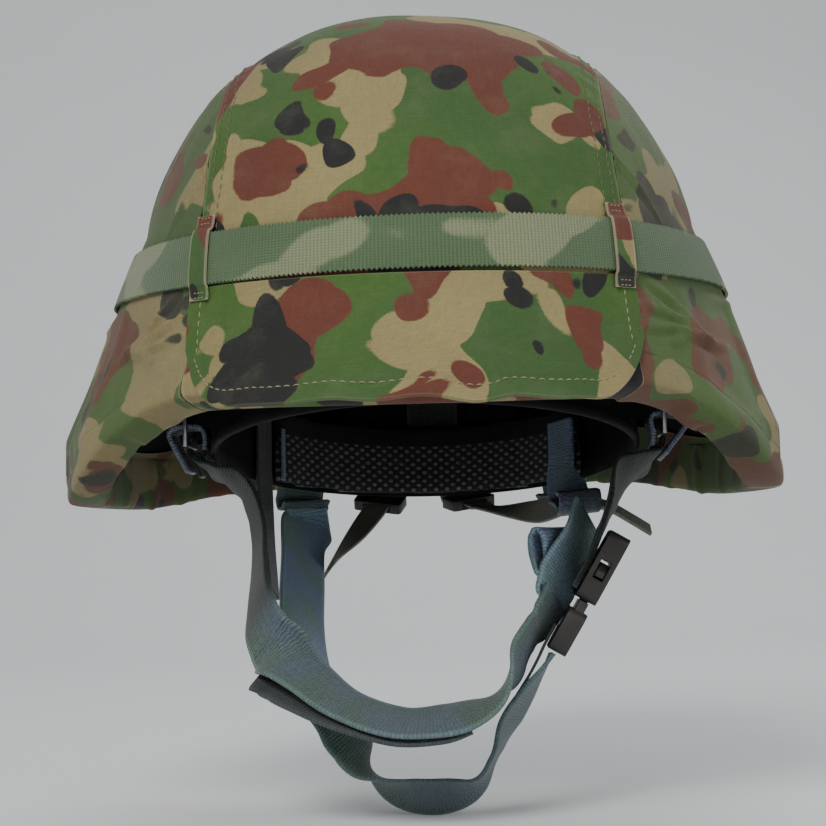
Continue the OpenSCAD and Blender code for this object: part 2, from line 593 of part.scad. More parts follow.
module latch(s) {
    a = window_a + 1.4;
    b = window_b - 0.8;
    y0 = cavity_w / 2 - 5;
    y1 = cavity_w / 2 - 0.5;
    in_buckle() translate([0, 0, -(cavity_t - 0.8) / 2]) linear_extrude(height = cavity_t - 0.8)
        polygon([[latch_pivot, s * (y0 + 0.5)], [latch_pivot, s * y1], [b + 0.6, s * y1],
            [b, s * (buckle_w / 2 - 0.7)],
            [b - 2, s * (buckle_w / 2 - 0.4)], [a, s * y1], [a, s * (y0 + 1.6)], [b + 0.4, s * (y0 + 1)]]);
}
module buckle_latch_front() {
    color([0.18, 0.16, 0.15]) latch(-1);
}
module buckle_latch_rear() {
    color([0.18, 0.16, 0.15]) latch(1);
}
module buckle_backing() {
    p = [[56.6, -24.8, -38.2], [53, -30, -45], [48.6, -34.5, -52.5], [44.8, -38.5, -59.5],
        [42.6, -41, -64.6], [42.1, -42.4, -68]];
    v = [[0.5, 0.8, -0.2], [0.42, 0.9, -0.1], [0.38, 0.92, 0], [0.36, 0.93, 0], [0.33, 0.93, 0],
        [0.3, 0.93, 0]];
    color([0.26, 0.37, 0.4]) webbing(p, v, web_w, web_t, 4);
}
module backing_loop() {
    p = [[47.3, -31.2, -48], [48.6, -29.3, -44.6], [46, -29.8, -41.6], [43, -31.4, -41.8], [39.8, -34, -46],
        [38.8, -36.2, -51], [39.2, -38.5, -56.6], [40.6, -40.2, -61.4]];
    v = [[0.45, 0.87, -0.15], [0.48, 0.84, -0.2], [0.45, 0.87, -0.1], [0.4, 0.92, 0], [0.36, 0.93, 0],
        [0.33, 0.94, 0.05], [0.33, 0.94, 0], [0.34, 0.93, 0]];
    color([0.26, 0.37, 0.4]) webbing(p, v, web_w, web_t, 3);
}
module strap_fold_left() {
    p = [[53.4, -9, -28.6], [53.8, -15, -29], [54, -20.5, -29.6], [54.1, -23.6, -32.2],
        [53.9, -21, -35.2], [53.6, -14, -36]];
    color([0.25, 0.38, 0.37]) webbing(p, [for (q = p) [0.62, 0.1, 0.05]], 15, web_t, 4);
}
chin_line = [[-57.4, -46.2, -81.6], [-50.5, -50, -86.3], [-42.1, -54, -91], [-28.1, -61, -98.5],
    [-10.5, -66, -103.7],
    [4.3, -67, -103.7], [14.2, -64.5, -101.5], [22.4, -61, -97], [27.8, -57, -90.6], [31.7, -52, -82.1],
    [35.1, -48.6, -76.7], [38, -46.4, -73.2], [40.6, -44, -69.8]];
chin_side = [[-0.3, 0.85, 0.42], [-0.25, 0.88, 0.4], [-0.15, 0.9, 0.4], [-0.1, 0.92, 0.38], [0, 0.92, 0.38],
    [0.05, 0.92, 0.38], [0.1, 0.92, 0.36], [0.2, 0.92, 0.3], [0.27, 0.93, 0.2], [0.33, 0.93, 0.1],
    [0.28, 0.94, 0], [0.28, 0.94, 0], [0.28, 0.94, 0]];
module upper_chin_strap() {
    color([0.28, 0.42, 0.39]) webbing(chin_line, chin_side, web_w, web_t, 3);
}
module chin_strap_tail() {
    p = [[-60.2, -44.8, -83.6], [-56, -47.4, -86.8], for (i = [1:3]) chin_line[i] + [0.3, -3.1, -4.4]];
    v = [chin_side[0], for (i = [0:3]) chin_side[i]];
    color([0.2, 0.27, 0.27]) webbing(p, v, web_w - 3, web_t, 3);
}
module lower_chin_strap() {
    p = [[-34.6, -40.8, -98.8], [-30.4, -40.2, -105.2], [-26.8, -38.8, -112.2], [-20.5, -36, -122.8],
        [-9.6, -33.5, -130.5],
        [4.1, -33, -131.9], [15.2, -34.5, -127.5], [22.3, -37, -117.6], [27.4, -38.8, -106.6],
        at_buckle(buckle_len + 17.7, -1, -1.55), at_buckle(buckle_len + 7.7, -0.4, -0.75),
            at_buckle(buckle_len + 1.3, 0, -0.6)];
    v = [[0.7, 0.4, -0.5], [0.72, 0.55, -0.4], [0.66, 0.65, -0.4], [0.45, 0.75, -0.5], [0.2, 0.8, -0.6],
        [0, 0.8, -0.6],
        [-0.2, 0.82, -0.5], [-0.25, 0.93, -0.3], [-0.15, 0.97, -0.15], [0, 1, 0], [0, 1, 0], [0, 1, 0]];
    color([0.22, 0.33, 0.3]) webbing(p, v, web_w, web_t, 3);
}
module strap_tail_left() {
    tail_t = 1;
    n = -(buckle_t - 1) / 2 - 0.6 - tail_t / 2;
    p = [at_buckle(buckle_len - 8, 0, n), at_buckle(buckle_len - 0.4, 0.1, n),
        at_buckle(buckle_len + 5, 0.2, n + 0.4),
        at_buckle(buckle_len + 11.5, 0, n + 0.5), at_buckle(buckle_len + 19, -0.6, n + 0.1)];
    color([0.3, 0.36, 0.45]) webbing(p, [for (q = p) [0.05, 1, 0]], web_w - 4, tail_t, 3);
}

// Rear straps from the headband to the harness
anchor_a = 138;
module rear_anchor(s) {
    o = ring_t + 0.1 + web_t / 2;
    p = [band_at(s * anchor_a, o, 1), band_at(s * anchor_a, o, -6), band_at(s * anchor_a, o, -13.5),
        band_at(s * anchor_a, o + 0.6, -18),
        band_at(s * anchor_a, o - 1.6, -21), band_at(s * anchor_a, o - 4.2, -18.6)];
    side = [ring_x * cos(s * anchor_a), ring_y * sin(s * anchor_a), 0];
    webbing(p, [for (q = p) side], web_w + 3, web_t, 3);
}
module rear_anchor_loops() {
    color([0.2, 0.38, 0.36]) {
        rear_anchor(1);
        rear_anchor(-1);
    }
}
module rear_strap_right() {
    p = [band_at(-anchor_a, -0.6, -22.9), band_at(-anchor_a, -1.6, -28), [-49.7, 55, -41.5],
        [-48, 32, -54.4], [-46.3, 4, -69], [-43.4, -17, -81.7], [-37.8, -37.6, -94.6]];
    v = [-band_side(-anchor_a), -band_side(-anchor_a), [0.66, 0.5, -0.5], [0.66, 0.45, -0.6],
        [0.66, 0.45, -0.6], [0.68, 0.42, -0.58], [0.7, 0.4, -0.5]];
    color([0.28, 0.42, 0.36]) webbing(p, v, web_w, web_t, 5);
}
module rear_strap_left() {
    p = [band_at(130.5, -7.6, 8), band_at(130.5, -7.6, -6), band_at(130.5, -8.6, -14.5),
        [52.6, 42, -29.4], [53.6, 14, -32], [53.8, -15, -33.9]];
    v = [band_side(130.5), band_side(130.5), [-0.55, 0.7, -0.3], [-0.65, 0.25, -0.1], [-0.68, 0.1, -0.05],
        [-0.64, 0.1, -0.05]];
    color([0.25, 0.34, 0.37]) webbing(p, v, web_w - 6, web_t, 5);
}
module liner_drop_strap() {
    p = [band_at(-119.5, -1.4, 10), band_at(-119.5, -1.4, -6), band_at(-119.5, -1.8, -18),
        [-61.4, 44, -46], [-59.4, 36, -63]];
    v = [-band_side(-119.5), -band_side(-119.5), -band_side(-119.5), [0.2, 0.95, 0], [0.12, 0.98, 0]];
    color([0.1, 0.1, 0.11]) webbing(p, v, 11, 1.2, 4);
}
nape_t = 1.4;
slide_at = 107;
function nape_line(s) = s < 0 ?
    [[-39.4, 46, -54.4], [-33, 68, -45.5], [-26.6, 91, -35.3], [-21.6, 105.5, -27.6]] :
    [[42.6, 57.4, -34.2], [34, 73, -33.4], [20.5, 95, -31.4], [13, 106.5, -28.4]];
function nape_at(s) = s < 0 ? -165.5 : 171;
function nape_dir(s) = let (p = nape_line(s)) unit(p[3] - p[2]);
module nape_strap(s) {
    p = nape_line(s);
    d = nape_dir(s);
    a = nape_at(s);
    e = -band_side(a);
    q = [p[0], p[1], for (u = [-16, -10, -4, 2, 7, 11]) p[3] + u * d, band_at(a, 9, -3),
        band_at(a, ring_t + 0.4 + nape_t / 2, 0)];
    v = [[0.5, -0.3 * s, 0.7], [0.75, -0.2 * s, 0.4], for (u = [1:6]) [1, 0, 0], e, e];
    webbing(q, v, nape_w, nape_t, 3);
}
module nape_strap_right() {
    color([0.13, 0.17, 0.17]) nape_strap(-1);
}
module nape_strap_left() {
    color([0.13, 0.17, 0.17]) {
        nape_strap(1);
        p = [[61.2, 34.8, -31.5], [68.2, 36, -34.1], [74.9, 38, -38], [82.4, 40, -42.7]];
        webbing(p, [for (q = p) [0.1, 0.93, 0.3]], nape_w, nape_t, 3);
    }
}
module nape_slider(s) {
    d = nape_dir(s);
    w = unit([1, 0, 0] - d[0] * d);
    n = cross(d, w);
    p = nape_line(s)[3] - 1.5 * d;
    multmatrix([[d[0], w[0], n[0], p[0]], [d[1], w[1], n[1], p[1]], [d[2], w[2], n[2], p[2]],
        [0, 0, 0, 1]]) difference() {
        rounded(-5, 5, nape_w + 10, nape_w + 10, 4.4, 1.5);
        cube([12, nape_w + 1.2, nape_t + 1], center = true);
    }
}
module nape_slider_right() {
    color([0.08, 0.08, 0.08]) nape_slider(-1);
}
module nape_slider_left() {
    color([0.08, 0.08, 0.08]) nape_slider(1);
}

ballistic_shell();
rim_trim();
cover_centre_panel();
cover_side_panel_left();
cover_side_panel_right();
brow_flap();
elastic_band();
band_loops();
shell_screws();
screw_nuts();
side_brackets();
headband();
headband_pad_rear();
headband_pad_front();
liner_drop_strap();
suspension_hangers();
crown_strap_middle();
crown_strap_cross_left();
crown_strap_cross_right();
crown_patch();
rear_anchor_loops();
rear_strap_left();
rear_strap_right();
nape_strap_left();
nape_strap_right();
nape_slider_left();
nape_slider_right();
side_plate_left();
side_plate_right();
hanger_loop_left();
hanger_loop_right();
front_strap_left();
front_strap_right();
strap_fold_left();
buckle_backing();
backing_loop();
buckle_female();
upper_chin_strap();
chin_strap_tail();
lower_chin_strap();
buckle_male();
buckle_latch_front();
buckle_latch_rear();
strap_tail_left();
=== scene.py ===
import bpy
import bmesh
import math
import numpy as np
from mathutils import Matrix, Vector


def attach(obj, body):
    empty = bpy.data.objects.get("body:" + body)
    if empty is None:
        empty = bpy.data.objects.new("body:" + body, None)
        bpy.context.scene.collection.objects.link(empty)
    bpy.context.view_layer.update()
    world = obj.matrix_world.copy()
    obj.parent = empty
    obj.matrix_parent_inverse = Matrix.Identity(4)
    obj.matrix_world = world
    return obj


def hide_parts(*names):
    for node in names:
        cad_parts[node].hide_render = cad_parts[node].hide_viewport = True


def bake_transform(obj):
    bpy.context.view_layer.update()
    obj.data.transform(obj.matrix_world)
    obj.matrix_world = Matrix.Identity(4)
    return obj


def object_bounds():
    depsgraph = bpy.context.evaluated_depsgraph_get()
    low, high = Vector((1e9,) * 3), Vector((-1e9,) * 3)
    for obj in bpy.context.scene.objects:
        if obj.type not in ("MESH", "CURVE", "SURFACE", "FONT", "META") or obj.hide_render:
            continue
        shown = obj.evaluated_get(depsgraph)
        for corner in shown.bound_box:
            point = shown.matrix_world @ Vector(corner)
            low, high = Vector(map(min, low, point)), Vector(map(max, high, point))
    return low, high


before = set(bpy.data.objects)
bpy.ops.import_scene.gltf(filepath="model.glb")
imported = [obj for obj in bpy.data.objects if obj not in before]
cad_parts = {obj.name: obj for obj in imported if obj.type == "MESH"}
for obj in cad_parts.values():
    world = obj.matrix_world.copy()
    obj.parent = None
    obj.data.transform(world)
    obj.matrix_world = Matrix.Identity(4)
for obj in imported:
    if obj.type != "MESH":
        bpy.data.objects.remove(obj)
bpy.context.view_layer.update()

# Lengths are in millimetres and angles in degrees, up to where Blender takes them.
viewpoint = {"distance": 800, "azimuth": 1.7, "height": -46, "pitch": 3.4, "yaw": 0.298, "roll": -1.533,
             "lens": 96.93, "sensor": 36}


def makeCamera():
    v = viewpoint
    az, aim = math.radians(v["azimuth"]), math.radians(v["azimuth"] + v["yaw"])
    pitch, roll = math.radians(v["pitch"]), math.radians(v["roll"])
    place = Vector((v["distance"] * math.sin(az), -v["distance"] * math.cos(az), v["height"])) / 1000
    ahead = Vector((-math.sin(aim) * math.cos(pitch), math.cos(aim) * math.cos(pitch), math.sin(pitch)))
    right = Vector((math.cos(aim), math.sin(aim), 0))
    up = right.cross(ahead)
    x = math.cos(roll) * right + math.sin(roll) * up
    y = -math.sin(roll) * right + math.cos(roll) * up
    data = bpy.data.cameras.new("view")
    data.lens, data.sensor_width = v["lens"], v["sensor"]
    data.clip_start, data.clip_end = 0.05, 20
    camera = bpy.data.objects.new("view", data)
    camera.matrix_world = Matrix.Translation(place) @ Matrix((x, y, -ahead)).transposed().to_4x4()
    bpy.context.scene.collection.objects.link(camera)
    bpy.context.scene.camera = camera


# Places and sizes of the lamps are in metres.
lights = {
    "key": {"place": (-0.4, -1.45, 0.95), "aim": (0, 0, 0.03), "size": (0.7, 0.7), "watts": 27,
            "tint": (1, 0.985, 0.96)},
    "fill": {"place": (1.3, -0.9, 0.35), "aim": (0, 0, 0), "size": (1.0, 1.2), "watts": 8,
             "tint": (0.95, 0.98, 1)},
    "back": {"place": (0.3, 1.3, 1.3), "aim": (0, 0, 0), "size": (1.4, 0.8), "watts": 10,
             "tint": (0.97, 0.99, 1)},
}
studio = {"color": (0.86, 0.88, 0.9, 1), "strength": 0.42}


def makeLight(name, place, aim, size, watts, tint):
    data = bpy.data.lights.new(name, "AREA")
    data.shape = "RECTANGLE"
    data.size, data.size_y = size
    data.energy, data.color = watts, tint
    lamp = bpy.data.objects.new(name, data)
    lamp.location = place
    lamp.rotation_euler = (Vector(aim) - Vector(place)).to_track_quat("-Z", "Y").to_euler()
    bpy.context.scene.collection.objects.link(lamp)


makeCamera()
for name, light in lights.items():
    makeLight(name, **light)
world = bpy.data.worlds.new("studio")
world.use_nodes = True
for socket, value in zip(world.node_tree.nodes["Background"].inputs, studio.values()):
    socket.default_value = value
bpy.context.scene.world = world
print("camera and lights made")

# The shell as the part's source draws it: a dome down to the waist and a bell below it.
# A point on it has an angle round the head (0 is the brow) and a row: 0 at the top, 90 at the waist.
shell = {
    "halfWidth": 97.5, "front": 124, "rear": 133, "crown": 139.5, "waist": 30, "wall": 8,
    "domePower": 2.23, "planPower": 2.2, "flare": 25.5, "flareTop": 62, "flareAngle": 98, "flareSpread": 62,
    "peak": 14, "peakTop": 34, "nape": 7, "napeTop": 12, "rimBrow": 3.5, "rimEar": -27, "rimNape": -18,
    "earTurn": (34, 74), "napeTurn": (112, 150), "tuck": 4.6, "tuckTop": -8, "drop": 0.9,
}
cover = {
    "gap": 0.8, "cloth": 0.8, "sideEase": 0.35, "panelHalf": 62, "panelSpread": 10, "panelEdge": 0.994,
    "fanFrom": 41, "turnIn": 22, "waves": 0.3, "folds": 1.05,
}
domeHeight = shell["crown"] - shell["waist"]


def eased(x, lo, hi):
    u = np.clip((x - lo) / (hi - lo), 0, 1)
    return u * u * (3 - 2 * u)


def unitOf(v):
    return v / np.maximum(np.linalg.norm(v, axis=-1, keepdims=True), 1e-9)


def rimHeight(a):
    s = np.abs((np.asarray(a, float) + 180) % 360 - 180)
    ear = (shell["rimEar"] - shell["rimBrow"]) * eased(s, *shell["earTurn"])
    return shell["rimBrow"] + ear + (shell["rimNape"] - shell["rimEar"]) * eased(s, *shell["napeTurn"])


def rowHeight(f):
    f = np.asarray(f, float)
    up = shell["waist"] + domeHeight * np.power(np.clip(np.cos(np.radians(f)), 0, 1), 2 / shell["domePower"])
    return np.where(f <= 90, up, shell["waist"] - shell["drop"] * (f - 90))


def rowShare(f):
    f = np.asarray(f, float)
    near = np.clip(np.sin(np.radians(np.clip(f, 0.01, 90))), 0, 1)
    return np.where(f < 90, np.power(near, 2 / shell["domePower"]), 1.0)


def rowOf(z):
    z = np.asarray(z, float)
    c = np.clip((z - shell["waist"]) / domeHeight, 0, 1)
    high = np.degrees(np.arccos(np.power(c, shell["domePower"] / 2)))
    return np.where(z >= shell["waist"], high, 90 + (shell["waist"] - z) / shell["drop"])


def flareAt(a, z):
    top, tuck = shell["flareTop"], shell["tuckTop"]
    out = shell["flare"] * np.power(np.maximum(top - z, 0) / (top - tuck), 1.1)
    out = np.minimum(out - shell["tuck"] * np.power(np.maximum(tuck - z, 0) / 20, 1.5), shell["flare"])
    s = np.abs((np.asarray(a, float) + 180) % 360 - 180)
    return out * np.exp(-np.power(np.abs(s - shell["flareAngle"]) / shell["flareSpread"], 4))


def reachOf(a, z, s):
    across = shell["halfWidth"] * s + flareAt(a, z)
    low = np.maximum(shell["peakTop"] - z, 0) / shell["peakTop"]
    ahead = shell["front"] * s + shell["peak"] * np.power(low, 1.5)
    low = np.maximum(shell["napeTop"] - z, 0) / (shell["napeTop"] - shell["rimNape"])
    behind = shell["rear"] * s + shell["nape"] * np.power(low, 1.5)
    c, n = np.cos(np.radians(a)), np.sin(np.radians(a))
    p = np.power(np.abs(n) / across, shell["planPower"])
    q = np.power(np.abs(c) / np.where(c > 0, ahead, behind), shell["planPower"])
    return np.power(p + q, -1 / shell["planPower"])


def skinAt(a, f):
    z, s = rowHeight(f), rowShare(f)
    r = reachOf(a, z, s)
    return np.stack([r * np.sin(np.radians(a)), -r * np.cos(np.radians(a)), z + 0 * r], -1)


def outwardAt(a, f):
    g = np.maximum(f, 1.5)
    return unitOf(np.cross(skinAt(a, g + 0.7) - skinAt(a, g - 0.7), skinAt(a + 0.7, g) - skinAt(a - 0.7, g)))


def onShell(a, z, o):
    a, z, o = np.broadcast_arrays(np.asarray(a, float), np.asarray(z, float), np.asarray(o, float))
    f = rowOf(z)
    return skinAt(a, f) + o[..., None] * outwardAt(a, f)


# Half the width of the centre panel at a height, which is where its seams run.
def seamX(z):
    return cover["panelHalf"] + cover["panelSpread"] * np.clip((100 - z) / 100, 0, 1.15)


# Closes in on the border between lo and hi, past which a test holds.
def borderOf(lo, hi, past, times=24):
    for _ in range(times):
        x = (lo + hi) / 2
        far = past(x)
        lo, hi = np.where(far, lo, x), np.where(far, x, hi)
    return lo, hi


# A point of the centre panel's upper part, in a fan of planes from brow to nape.
def fanPoint(k, t):
    ct, st = np.cos(np.radians(t)), np.sin(np.radians(t))

    def outside(r):
        z = shell["waist"] + r * st
        x, y = k * seamX(z), -r * ct
        c = np.clip((z - shell["waist"]) / domeHeight, 0, 0.99999)
        s = np.power(1 - np.power(c, shell["domePower"]), 1 / shell["domePower"])
        own = np.hypot(x, y) / reachOf(np.degrees(np.arctan2(x, -y)), z, s)
        return (z > shell["crown"] - 0.01) | (own > 1)

    lo, hi = borderOf(np.full(np.shape(t), 50.0), np.full(np.shape(t), 190.0), outside, 26)
    r = (lo + hi) / 2
    z = shell["waist"] + r * st
    return np.stack([k * seamX(z), -r * ct, z], -1)


def onFan(k, t, o):
    across = fanPoint(k + 0.02, t) - fanPoint(k - 0.02, t)
    along = fanPoint(k, t + 0.8) - fanPoint(k, t - 0.8)
    return fanPoint(k, t) - o * unitOf(np.cross(along, across))


def halfWidthAt(a, z):
    return reachOf(a, z, rowShare(rowOf(z))) * np.abs(np.sin(np.radians(a)))


# The same panel below the fan, where a share k of its half width gives the angle.
def lowPanel(k, z, o, rear=False):
    def past(b):
        return halfWidthAt(180 - b if rear else b, z) >= np.abs(k) * seamX(z)

    lo = borderOf(np.zeros(np.shape(z)), np.full(np.shape(z), 70.0), past)[0]
    a = 180 - lo if rear else lo
    return onShell(np.where(k < 0, -a, a), z, o)


# The height at which a side panel meets the seam, above lo.
def seamRow(a, lo):
    top = np.full(np.shape(a), float(shell["crown"]))
    return borderOf(np.array(lo, float), top, lambda z: halfWidthAt(a, z) < seamX(z))[0]


# Gentle, random waves of about this size.
def ripple(p, seed, size, count=14):
    luck = np.random.default_rng(int(seed * 10))
    total = np.zeros(p.shape[:-1])
    for _ in range(count):
        d = luck.normal(size=3)
        d /= np.linalg.norm(d)
        total += np.cos(p @ (d * luck.uniform(0.6, 1.5) * 2 * math.pi / size) + luck.uniform(0, 6.283))
    return total / math.sqrt(count / 2)


# Mesh helpers. A grid holds its points in rows and columns.
def outwardNormals(g, closed=False):
    du = np.roll(g, -1, 0) - np.roll(g, 1, 0) if closed else np.gradient(g, axis=0)
    normal = unitOf(np.cross(du, np.gradient(g, axis=1)))
    return -normal if (normal * (g - np.array((0, 0, 20)))).sum() < 0 else normal


def arcLengths(g, axis):
    steps = np.linalg.norm(np.diff(g, axis=axis), axis=-1)
    zero = np.zeros_like(np.take(steps, [0], axis=axis))
    return np.cumsum(np.concatenate([zero, steps], axis=axis), axis=axis)


def lengthAlong(line):
    return arcLengths(line, 0)


def addMesh(name, points, faces, uvs=None):
    mesh = bpy.data.meshes.new(name)
    mesh.from_pydata((np.asarray(points).reshape(-1, 3) / 1000).tolist(), [], faces)
    if uvs is not None:
        mesh.uv_layers.new(name="cloth")
        fillCloth(mesh, np.asarray(uvs).reshape(-1, 2) / 1000)
    mesh.validate()
    mesh.update()
    smoothFaces(mesh)
    piece = bpy.data.objects.new(name, mesh)
    bpy.context.scene.collection.objects.link(piece)
    return piece


# Gives each corner of the mesh the place of its vertex in the cloth, in metres.
def fillCloth(mesh, places):
    corners = np.zeros(len(mesh.loops), np.int32)
    mesh.loops.foreach_get("vertex_index", corners)
    mesh.uv_layers["cloth"].data.foreach_set("uv", places[corners].ravel())


def smoothFaces(mesh, angle=None):
    mesh.polygons.foreach_set("use_smooth", [True] * len(mesh.polygons))
    if angle:
        mesh.set_sharp_from_angle(angle=math.radians(angle))


def gridFaces(n, k, base, flip, closed=False):
    faces = []
    for i in range(n if closed else n - 1):
        a, b = base + i * k, base + (i + 1) % n * k
        faces += [[a + j, a + j + 1, b + j + 1, b + j] for j in range(k - 1)]
    return [face[::-1] for face in faces] if flip else faces


# Faces of a tube of n rings with m points each, with its two ends.
def tubeFaces(n, m, base=0, closed=False, ends=True):
    faces = []
    for i in range(n if closed else n - 1):
        a, b = base + i * m, base + (i + 1) % n * m
        faces += [[a + j, a + (j + 1) % m, b + (j + 1) % m, b + j] for j in range(m)]
    if ends:
        faces += [list(range(base + m - 1, base - 1, -1)), [base + (n - 1) * m + j for j in range(m)]]
    return faces


def faceOutwards(piece):
    work = bmesh.new()
    work.from_mesh(piece.data)
    bmesh.ops.recalc_face_normals(work, faces=work.faces)
    work.to_mesh(piece.data)
    work.free()


# A thin sheet: the outer grid, and the same grid one thickness below it.
def addSheet(name, outer, thick, closed=False, uvs=None):
    n, k = outer.shape[:2]
    inner = outer - np.asarray(thick)[..., None] * outwardNormals(outer, closed)
    m = n * k
    faces = gridFaces(n, k, 0, False, closed) + gridFaces(n, k, m, True, closed)
    for i in range(n if closed else n - 1):
        h = (i + 1) % n
        faces += [[i * k + j, m + i * k + j, m + h * k + j, h * k + j] for j in (0, k - 1)]
    for i in () if closed else (0, n - 1):
        faces += [[i * k + j, m + i * k + j, m + i * k + j + 1, i * k + j + 1] for j in range(k - 1)]
    if uvs is None:
        uvs = np.stack([arcLengths(outer, 0), arcLengths(outer, 1)], -1)
    piece = addMesh(name, np.concatenate([outer.reshape(-1, 3), inner.reshape(-1, 3)]), faces,
                    np.concatenate([uvs.reshape(-1, 2)] * 2))
    faceOutwards(piece)
    piece.data.set_sharp_from_angle(angle=math.radians(50))
    halves = np.cross(outer[1:, 1:] - outer[:-1, :-1], outer[1:, :-1] - outer[:-1, 1:])
    piece["clothArea"] = float(np.linalg.norm(halves, axis=-1).sum() / 2e6)
    return piece


# Cuts the corners of a profile, twice over.
def rounded(profile):
    p = np.array(profile, float)
    for _ in range(2):
        a, b = p[:-1], p[1:]
        q = np.stack([0.75 * a + 0.25 * b, 0.25 * a + 0.75 * b], 1).reshape(-1, p.shape[1])
        p = np.concatenate([p[:1], q, p[-1:]])
    return p


def closedRound(profile, times):
    p = np.array(profile, float)
    for _ in range(times):
        q = np.roll(p, -1, 0)
        p = np.stack([0.8 * p + 0.2 * q, 0.2 * p + 0.8 * q], 1).reshape(-1, p.shape[1])
    return p


# A smooth curve through the points, with k steps between two of them.
def smoothed(points, k):
    p = np.array(points, float)
    n = len(p) - 1
    out = []
    for i in range(n):
        a, b, c, d = p[max(i - 1, 0)], p[i], p[min(i + 1, n)], p[min(i + 2, n)]
        for j in range(k):
            u = j / k
            out.append(0.5 * (2 * b + (c - a) * u + (2 * a - 5 * b + 4 * c - d) * u * u
                              + (3 * b - a - 3 * c + d) * u ** 3))
    out.append(p[n])
    return np.array(out)


# Webbing along the points, its width lying in the directions across, with rounded edges.
def addStrap(name, points, across, width, thick, k=10):
    c, v = smoothed(points, k), smoothed(across, k)
    ahead = unitOf(np.gradient(c, axis=0))
    side = unitOf(v - (v * ahead).sum(-1, keepdims=True) * ahead)
    up = np.cross(ahead, side)
    w, t, steps = width / 2, thick / 2, 10
    top = [(-w + t * 0.6 + (2 * w - 1.2 * t) * j / steps, t) for j in range(steps + 1)]
    edge = [(w - 0.12 * t, t * 0.75), (w, 0), (w - 0.12 * t, -t * 0.75)]
    s = np.array(top + edge + [(-x, -y) for x, y in top + edge])
    flat = np.where(np.abs(s[:, 0]) > w - 0.2 * t, np.sign(s[:, 0]) * w, s[:, 0])
    grid = c[:, None] + s[None, :, 0:1] * side[:, None] + s[None, :, 1:2] * up[:, None]
    uv = np.stack([np.repeat(lengthAlong(c)[:, None], len(s), 1), np.repeat(flat[None], len(c), 0)], -1)
    return addMesh(name, grid, tubeFaces(*grid.shape[:2]), uv)


# Each seam's pitch, the length of a stitch and its radius.
stitches = {"crown": (3.4, 2.3, 0.26), "flap": (3.0, 2.2, 0.24), "loop": (1.6, 1.2, 0.2), "patch": (3, 2, 0.22)}


# Stitches along lines of points, each a slim bead that dips at its ends.
def addStitches(name, lines, pitch, long, radius):
    points, faces = [], []
    for line, normals in lines:
        length = lengthAlong(line)
        count = int(length[-1] // pitch)

        def at(where, values):
            return np.array([np.interp(where, length, values[:, x]) for x in range(3)])

        for i in range(count):
            middle = (length[-1] - count * pitch) / 2 + pitch * (i + 0.5)
            first, last = at(middle - long / 2, line), at(middle + long / 2, line)
            n = unitOf(at(middle, normals))
            s = np.cross(unitOf(last - first), n)
            faces += tubeFaces(4, 6, len(points))
            for share, size, up in ((0, 0.45, -0.12), (0.4, 1, 0.12), (0.6, 1, 0.12), (1, 0.45, -0.12)):
                for g in np.arange(6) * math.pi / 3:
                    arm = math.cos(g) * s + math.sin(g) * n * 0.8
                    points.append(first * (1 - share) + last * share + n * up + radius * size * arm)
    return addMesh(name, np.array(points), faces)


def bake(piece):
    deps = bpy.context.evaluated_depsgraph_get()
    made = bpy.data.meshes.new_from_object(piece.evaluated_get(deps))
    piece.modifiers.clear()
    piece.data = made


def modify(piece, name, kind, **settings):
    made = piece.modifiers.new(name, kind)
    for key, value in settings.items():
        setattr(made, key, value)


def settle(piece, body, material, *nodes, slot=None):
    piece.data.materials.clear()
    piece.data.materials.append(material)
    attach(piece, body)
    if nodes:
        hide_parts(*nodes)


def joinPieces(name, pieces):
    if len(pieces) > 1:
        bpy.ops.object.select_all(action="DESELECT")
        for piece in pieces:
            piece.select_set(True)
        bpy.context.view_layer.objects.active = pieces[0]
        bpy.ops.object.join()
    pieces[0].name = name
    return pieces[0]


# Materials. Colours are given as on a screen, from 0 to 255.
def paint(*rgb):
    return tuple(c / 255 / 12.92 if c / 255 <= 0.04045 else ((c / 255 + 0.055) / 1.055) ** 2.4 for c in rgb) + (1,)


def lighter(color, times, plus=0):
    return tuple(min(1, c * times + plus) for c in color[:3]) + (1,)


